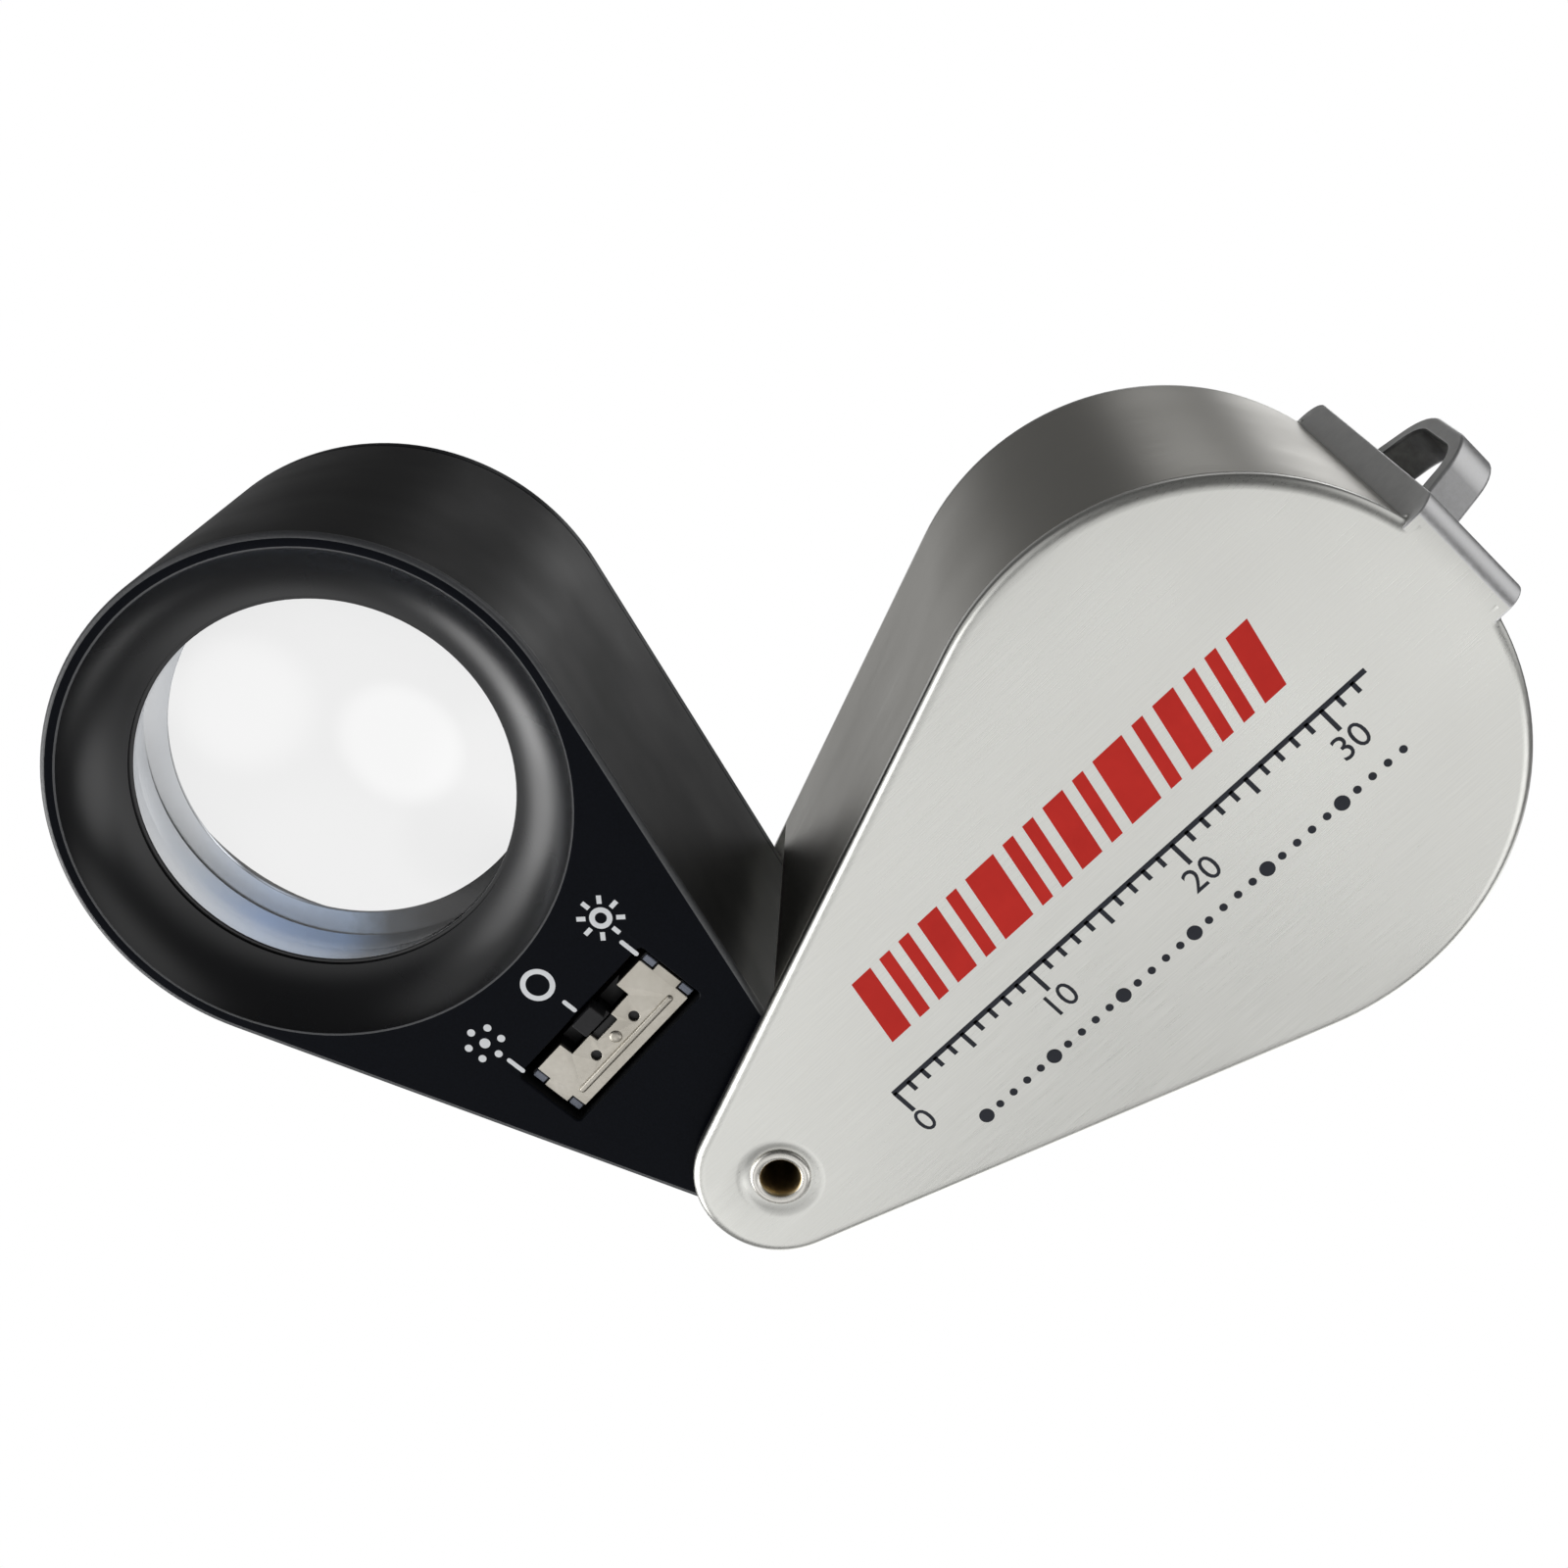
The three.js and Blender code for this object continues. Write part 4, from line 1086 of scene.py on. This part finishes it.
def cover_marks():
    """A band of slanted bars, a graduated scale and a row of dots; the scale's numbers are added by digits().
    """
    face = -COVER_HALF
    red = []
    x = 10.2
    for width in (1.4, 0.75, 0.75, 1.4, 0.75, 2.0, 0.75, 0.75, 1.4, 0.75, 2.0, 0.75, 1.4, 0.75, 0.75, 1.4):
        red.append(mark(slanted(x, width, 1.5, 5.4, 0.9), face))
        x += width + 0.66
    scale = []
    scale.append(mark(bar(8, 41, -0.85, -0.55), face))
    for i in range(33):
        length = 1.5 if i % 10 == 0 else 1.1 if i % 5 == 0 else 0.7
        at = 8.1 + i
        scale.append(mark(bar(at - 0.13, at + 0.13, -0.7 - length, -0.7), face))
    for i in range(30):
        at = 10.6 + i
        size = 0.42 if i % 5 == 0 else 0.22
        scale.append(mark(circle(at, -5.2, size, 20), face))
    return merged("red_marks", *red), merged("black_marks", *scale)


red_marks, black_marks = cover_marks()
place("red_marks", red_marks, "cover", [RED_INK])
place("black_marks", black_marks, "cover", [BLACK_INK])


def digits(name, text, size, x, z, body, material, face):
    """A number as a thin mesh, reading along the body's length."""
    curve = bpy.data.curves.new(name, "FONT")
    curve.body = text
    curve.size = size
    curve.align_x = "CENTER"
    curve.align_y = "CENTER"
    curve.extrude = PRINT_THICK / 2
    curve.resolution_u = 4
    maker = bpy.data.objects.new(name + "_text", curve)
    bpy.context.scene.collection.objects.link(maker)
    bpy.context.view_layer.update()
    graph = bpy.context.evaluated_depsgraph_get()
    made = bpy.data.meshes.new_from_object(maker.evaluated_get(graph))
    bpy.data.objects.remove(maker)
    made.transform(Matrix.Rotation(math.pi / 2, 4, "X"))
    made.transform(Matrix.Translation((x, face - PRINT_THICK / 2, z)))
    made.transform(Matrix.Scale(MM, 4))
    place(name, made, body, [material])


for i in range(4):
    digits(
        f"scale_number_{i}", str(10 * i), 2.0, 8.1 + 10 * i, -3.1,
        "cover", BLACK_INK, -COVER_HALF
    )


def switch_marks():
    """A tick at each end of the switch's travel and in the middle; the sign beside each is made by
    sign_marks().
    """
    face = -HOUSING_HALF
    marks = [
        mark(rectangle(14.15, 15.35, 4.9, 5.16, 0.12), face),
        mark(rectangle(14.35, 15.3, 0.16, 0.42, 0.12), face),
        mark(rectangle(14.0, 15.25, -4.63, -4.37, 0.12), face),
    ]
    return marks


def ring_mark(x, z, radius, width, face):
    shell = slab(
        circle(x, z, radius, 48),
        face - PRINT_THICK,
        face + 0.002,
        [circle(x, z, radius - width, 48, hole=True)],
        0.003,
        0.001,
        steps=1,
    )
    return shell


def sign_marks():
    """Off is a ring, white light is a sun and violet light is a ring of dots."""
    face = -HOUSING_HALF
    marks = [ring_mark(16.9, 0.45, 0.95, 0.3, face)]
    marks.append(ring_mark(16.85, -4.85, 0.62, 0.3, face))
    for i in range(8):
        turn = math.pi / 4 * i
        tip = Vector((math.cos(turn), math.sin(turn)))
        side = Vector((-tip.y, tip.x)) * 0.13
        centre = Vector((16.85, -4.85))
        corners = [
            centre + tip * 0.82 + side, centre + tip * 0.82 - side,
            centre + tip * 1.3 - side, centre + tip * 1.3 + side
        ]
        marks.append(mark([tuple(c) for c in corners][::-1], face))
    for i in range(6):
        turn = math.pi / 3 * i
        marks.append(mark(circle(16.85 + 0.95 * math.cos(turn), 5.1 + 0.95 * math.sin(turn), 0.22, 20), face))
    marks.append(mark(circle(16.85, 5.1, 0.3, 24), face))
    return marks


signs = merged("switch_marks", *switch_marks(), *sign_marks())
place("switch_marks", signs, "lens_unit", [WHITE_INK])


# ---------- CAD nodes that stay ----------
KEPT = {
    "battery_sleeve": PLASTIC,
    "battery_contact": BRASS,
    "battery_spring": SCREW,
    "battery_wire": WIRE,
    "light_wire": WIRE,
}
KEPT.update({f"button_cell_{i}": CELL for i in (1, 2, 3)})
KEPT.update({f"switch_terminal_{i}": BRASS for i in (1, 2, 3)})
for name, material in KEPT.items():
    node = frame["nodes"][name]
    node.data.materials.clear()
    node.data.materials.append(material)


# ---------- floor, light and camera ----------
def glow(name, strength):
    material = bpy.data.materials.new(name)
    material.use_nodes = True
    tree = material.node_tree
    tree.nodes.remove(tree.nodes["Principled BSDF"])
    emission = tree.nodes.new("ShaderNodeEmission")
    emission.inputs["Color"].default_value = (1, 1, 1, 1)
    emission.inputs["Strength"].default_value = strength
    tree.links.new(emission.outputs["Emission"], tree.nodes["Material Output"].inputs["Surface"])
    return material


def floor():
    shell = Shell()
    low = shell.loop(rectangle(-4000, 4000, -4000, 4000), 0)
    shell.faces.append(tuple(low))
    shell.looks.append(0)
    made = shell.mesh("floor")
    made.transform(Matrix.Rotation(math.pi / 2, 4, "X"))
    thing = bpy.data.objects.new("floor", made)
    bpy.context.scene.collection.objects.link(thing)
    made.materials.append(glow("floor_white", 1.0))
    thing.location = (0, 0, -0.0002)
    thing.visible_diffuse = False
    thing.visible_glossy = False
    thing.visible_transmission = False
    thing.visible_shadow = False
    thing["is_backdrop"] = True


REFLECTED_BASE = 0.10
# direction, degrees of full strength, degrees where it ends, strength
REFLECTED_LIGHTS = [
    ((-0.08, -0.90, -0.36), 18, 55, 0.57),  # front, low: what the plate shows
    ((-0.15, -0.78, -0.62), 4, 28, 0.42),
    ((0.36, -0.87, -0.30), 4, 20, 0.5),
    ((0.20, -0.82, -0.53), 2, 15, -0.62),
    ((0.45, 0.35, -0.82), 15, 42, 1.4),  # below, right: the plate's lower edge
    ((0, 0.1, -1), 20, 60, 0.12),
    ((0, 0.85, -0.5), 20, 42, 0.40),
    ((-0.88, -0.28, -0.36), 6, 22, 3.9),  # a tall strip, left: the bright arc in the bowl
    ((-0.74, -0.18, -0.64), 6, 20, 3.0),
    ((-0.86, -0.50, 0.02), 5, 20, 1.9),
    ((-0.86, 0.41, -0.30), 8, 26, 0.9),  # left: the housing's left rim
    ((0.73, -0.60, -0.35), 6, 20, 1.5),
    ((-0.88, -0.25, 0.40), 5, 38, 0.45),  # left, high: the plate's left edge
    ((0.85, 0.0, 0.50), 14, 42, 0.68),  # right, high: the strap and the bail
    ((0.34, 0.93, 0.11), 3, 9.5, 1.7),  # behind: the right of the cover's wall
    ((0.10, 0.93, 0.27), 2, 8, 0.5),
    ((0.15, 0.92, 0.40), 3, 12, 0.22),  # the strap and the top of the wall
    ((-0.36, 0.93, -0.02), 4, 13, 0.16),
]
LENS_BASE = 0.62
SEEN_THROUGH_LENS = [
    ((-0.26, 0.90, -0.34), 8, 27, 0.26),
    ((-0.315, 0.88, -0.36), 3, 5.5, 0.08),
    ((-0.12, 0.92, -0.42), 2, 7, 0.06),
]


def studio():
    """White to the camera, slightly shaded through the lens, and soft lights to all else."""
    world = bpy.data.worlds.new("studio")
    bpy.context.scene.world = world
    world.use_nodes = True
    tree = world.node_tree
    nodes = tree.nodes
    nodes.clear()
    looked = nodes.new("ShaderNodeTexCoord").outputs["Generated"]

    def room(base, lights):
        total = nodes.new("ShaderNodeMath")
        total.inputs[0].default_value = base
        total.inputs[1].default_value = 0
        total = total.outputs["Value"]
        for direction, full, none, strength in lights:
            near = nodes.new("ShaderNodeVectorMath")
            near.operation = "DOT_PRODUCT"
            tree.links.new(looked, near.inputs[0])
            near.inputs[1].default_value = Vector(direction).normalized()
            fade = nodes.new("ShaderNodeMapRange")
            fade.interpolation_type = "SMOOTHERSTEP"
            fade.inputs["From Min"].default_value = math.cos(math.radians(none))
            fade.inputs["From Max"].default_value = math.cos(math.radians(full))
            fade.inputs["To Max"].default_value = strength
            tree.links.new(near.outputs["Value"], fade.inputs["Value"])
            add = nodes.new("ShaderNodeMath")
            tree.links.new(total, add.inputs[0])
            tree.links.new(fade.outputs["Result"], add.inputs[1])
            total = add.outputs["Value"]
        sky = nodes.new("ShaderNodeBackground")
        tree.links.new(total, sky.inputs["Strength"])
        sky.inputs["Color"].default_value = (1, 1, 1, 1)
        return sky.outputs["Background"]

    path = nodes.new("ShaderNodeLightPath")
    lens = nodes.new("ShaderNodeMixShader")
    tree.links.new(path.outputs["Is Transmission Ray"], lens.inputs[0])
    tree.links.new(room(REFLECTED_BASE, REFLECTED_LIGHTS), lens.inputs[1])
    tree.links.new(room(LENS_BASE, SEEN_THROUGH_LENS), lens.inputs[2])
    direct = nodes.new("ShaderNodeMixShader")
    tree.links.new(path.outputs["Is Camera Ray"], direct.inputs[0])
    tree.links.new(lens.outputs["Shader"], direct.inputs[1])
    tree.links.new(room(1.0, []), direct.inputs[2])
    output = nodes.new("ShaderNodeOutputWorld")
    tree.links.new(direct.outputs["Shader"], output.inputs["Surface"])


studio()
floor()

camera_data = bpy.data.cameras.new("camera")
camera_data.sensor_width = 36
camera_data.lens = 47.27
camera_data.clip_start = 0.005
camera = bpy.data.objects.new("camera", camera_data)
bpy.context.scene.collection.objects.link(camera)
camera.location = HINGE + Vector((2.92, -110.41, 59.46)) * MM
camera.rotation_euler = (math.radians(90 - 20.528), 0, math.radians(1.608))
bpy.context.scene.camera = camera
bpy.context.scene.view_settings.view_transform = "Standard"

low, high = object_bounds()
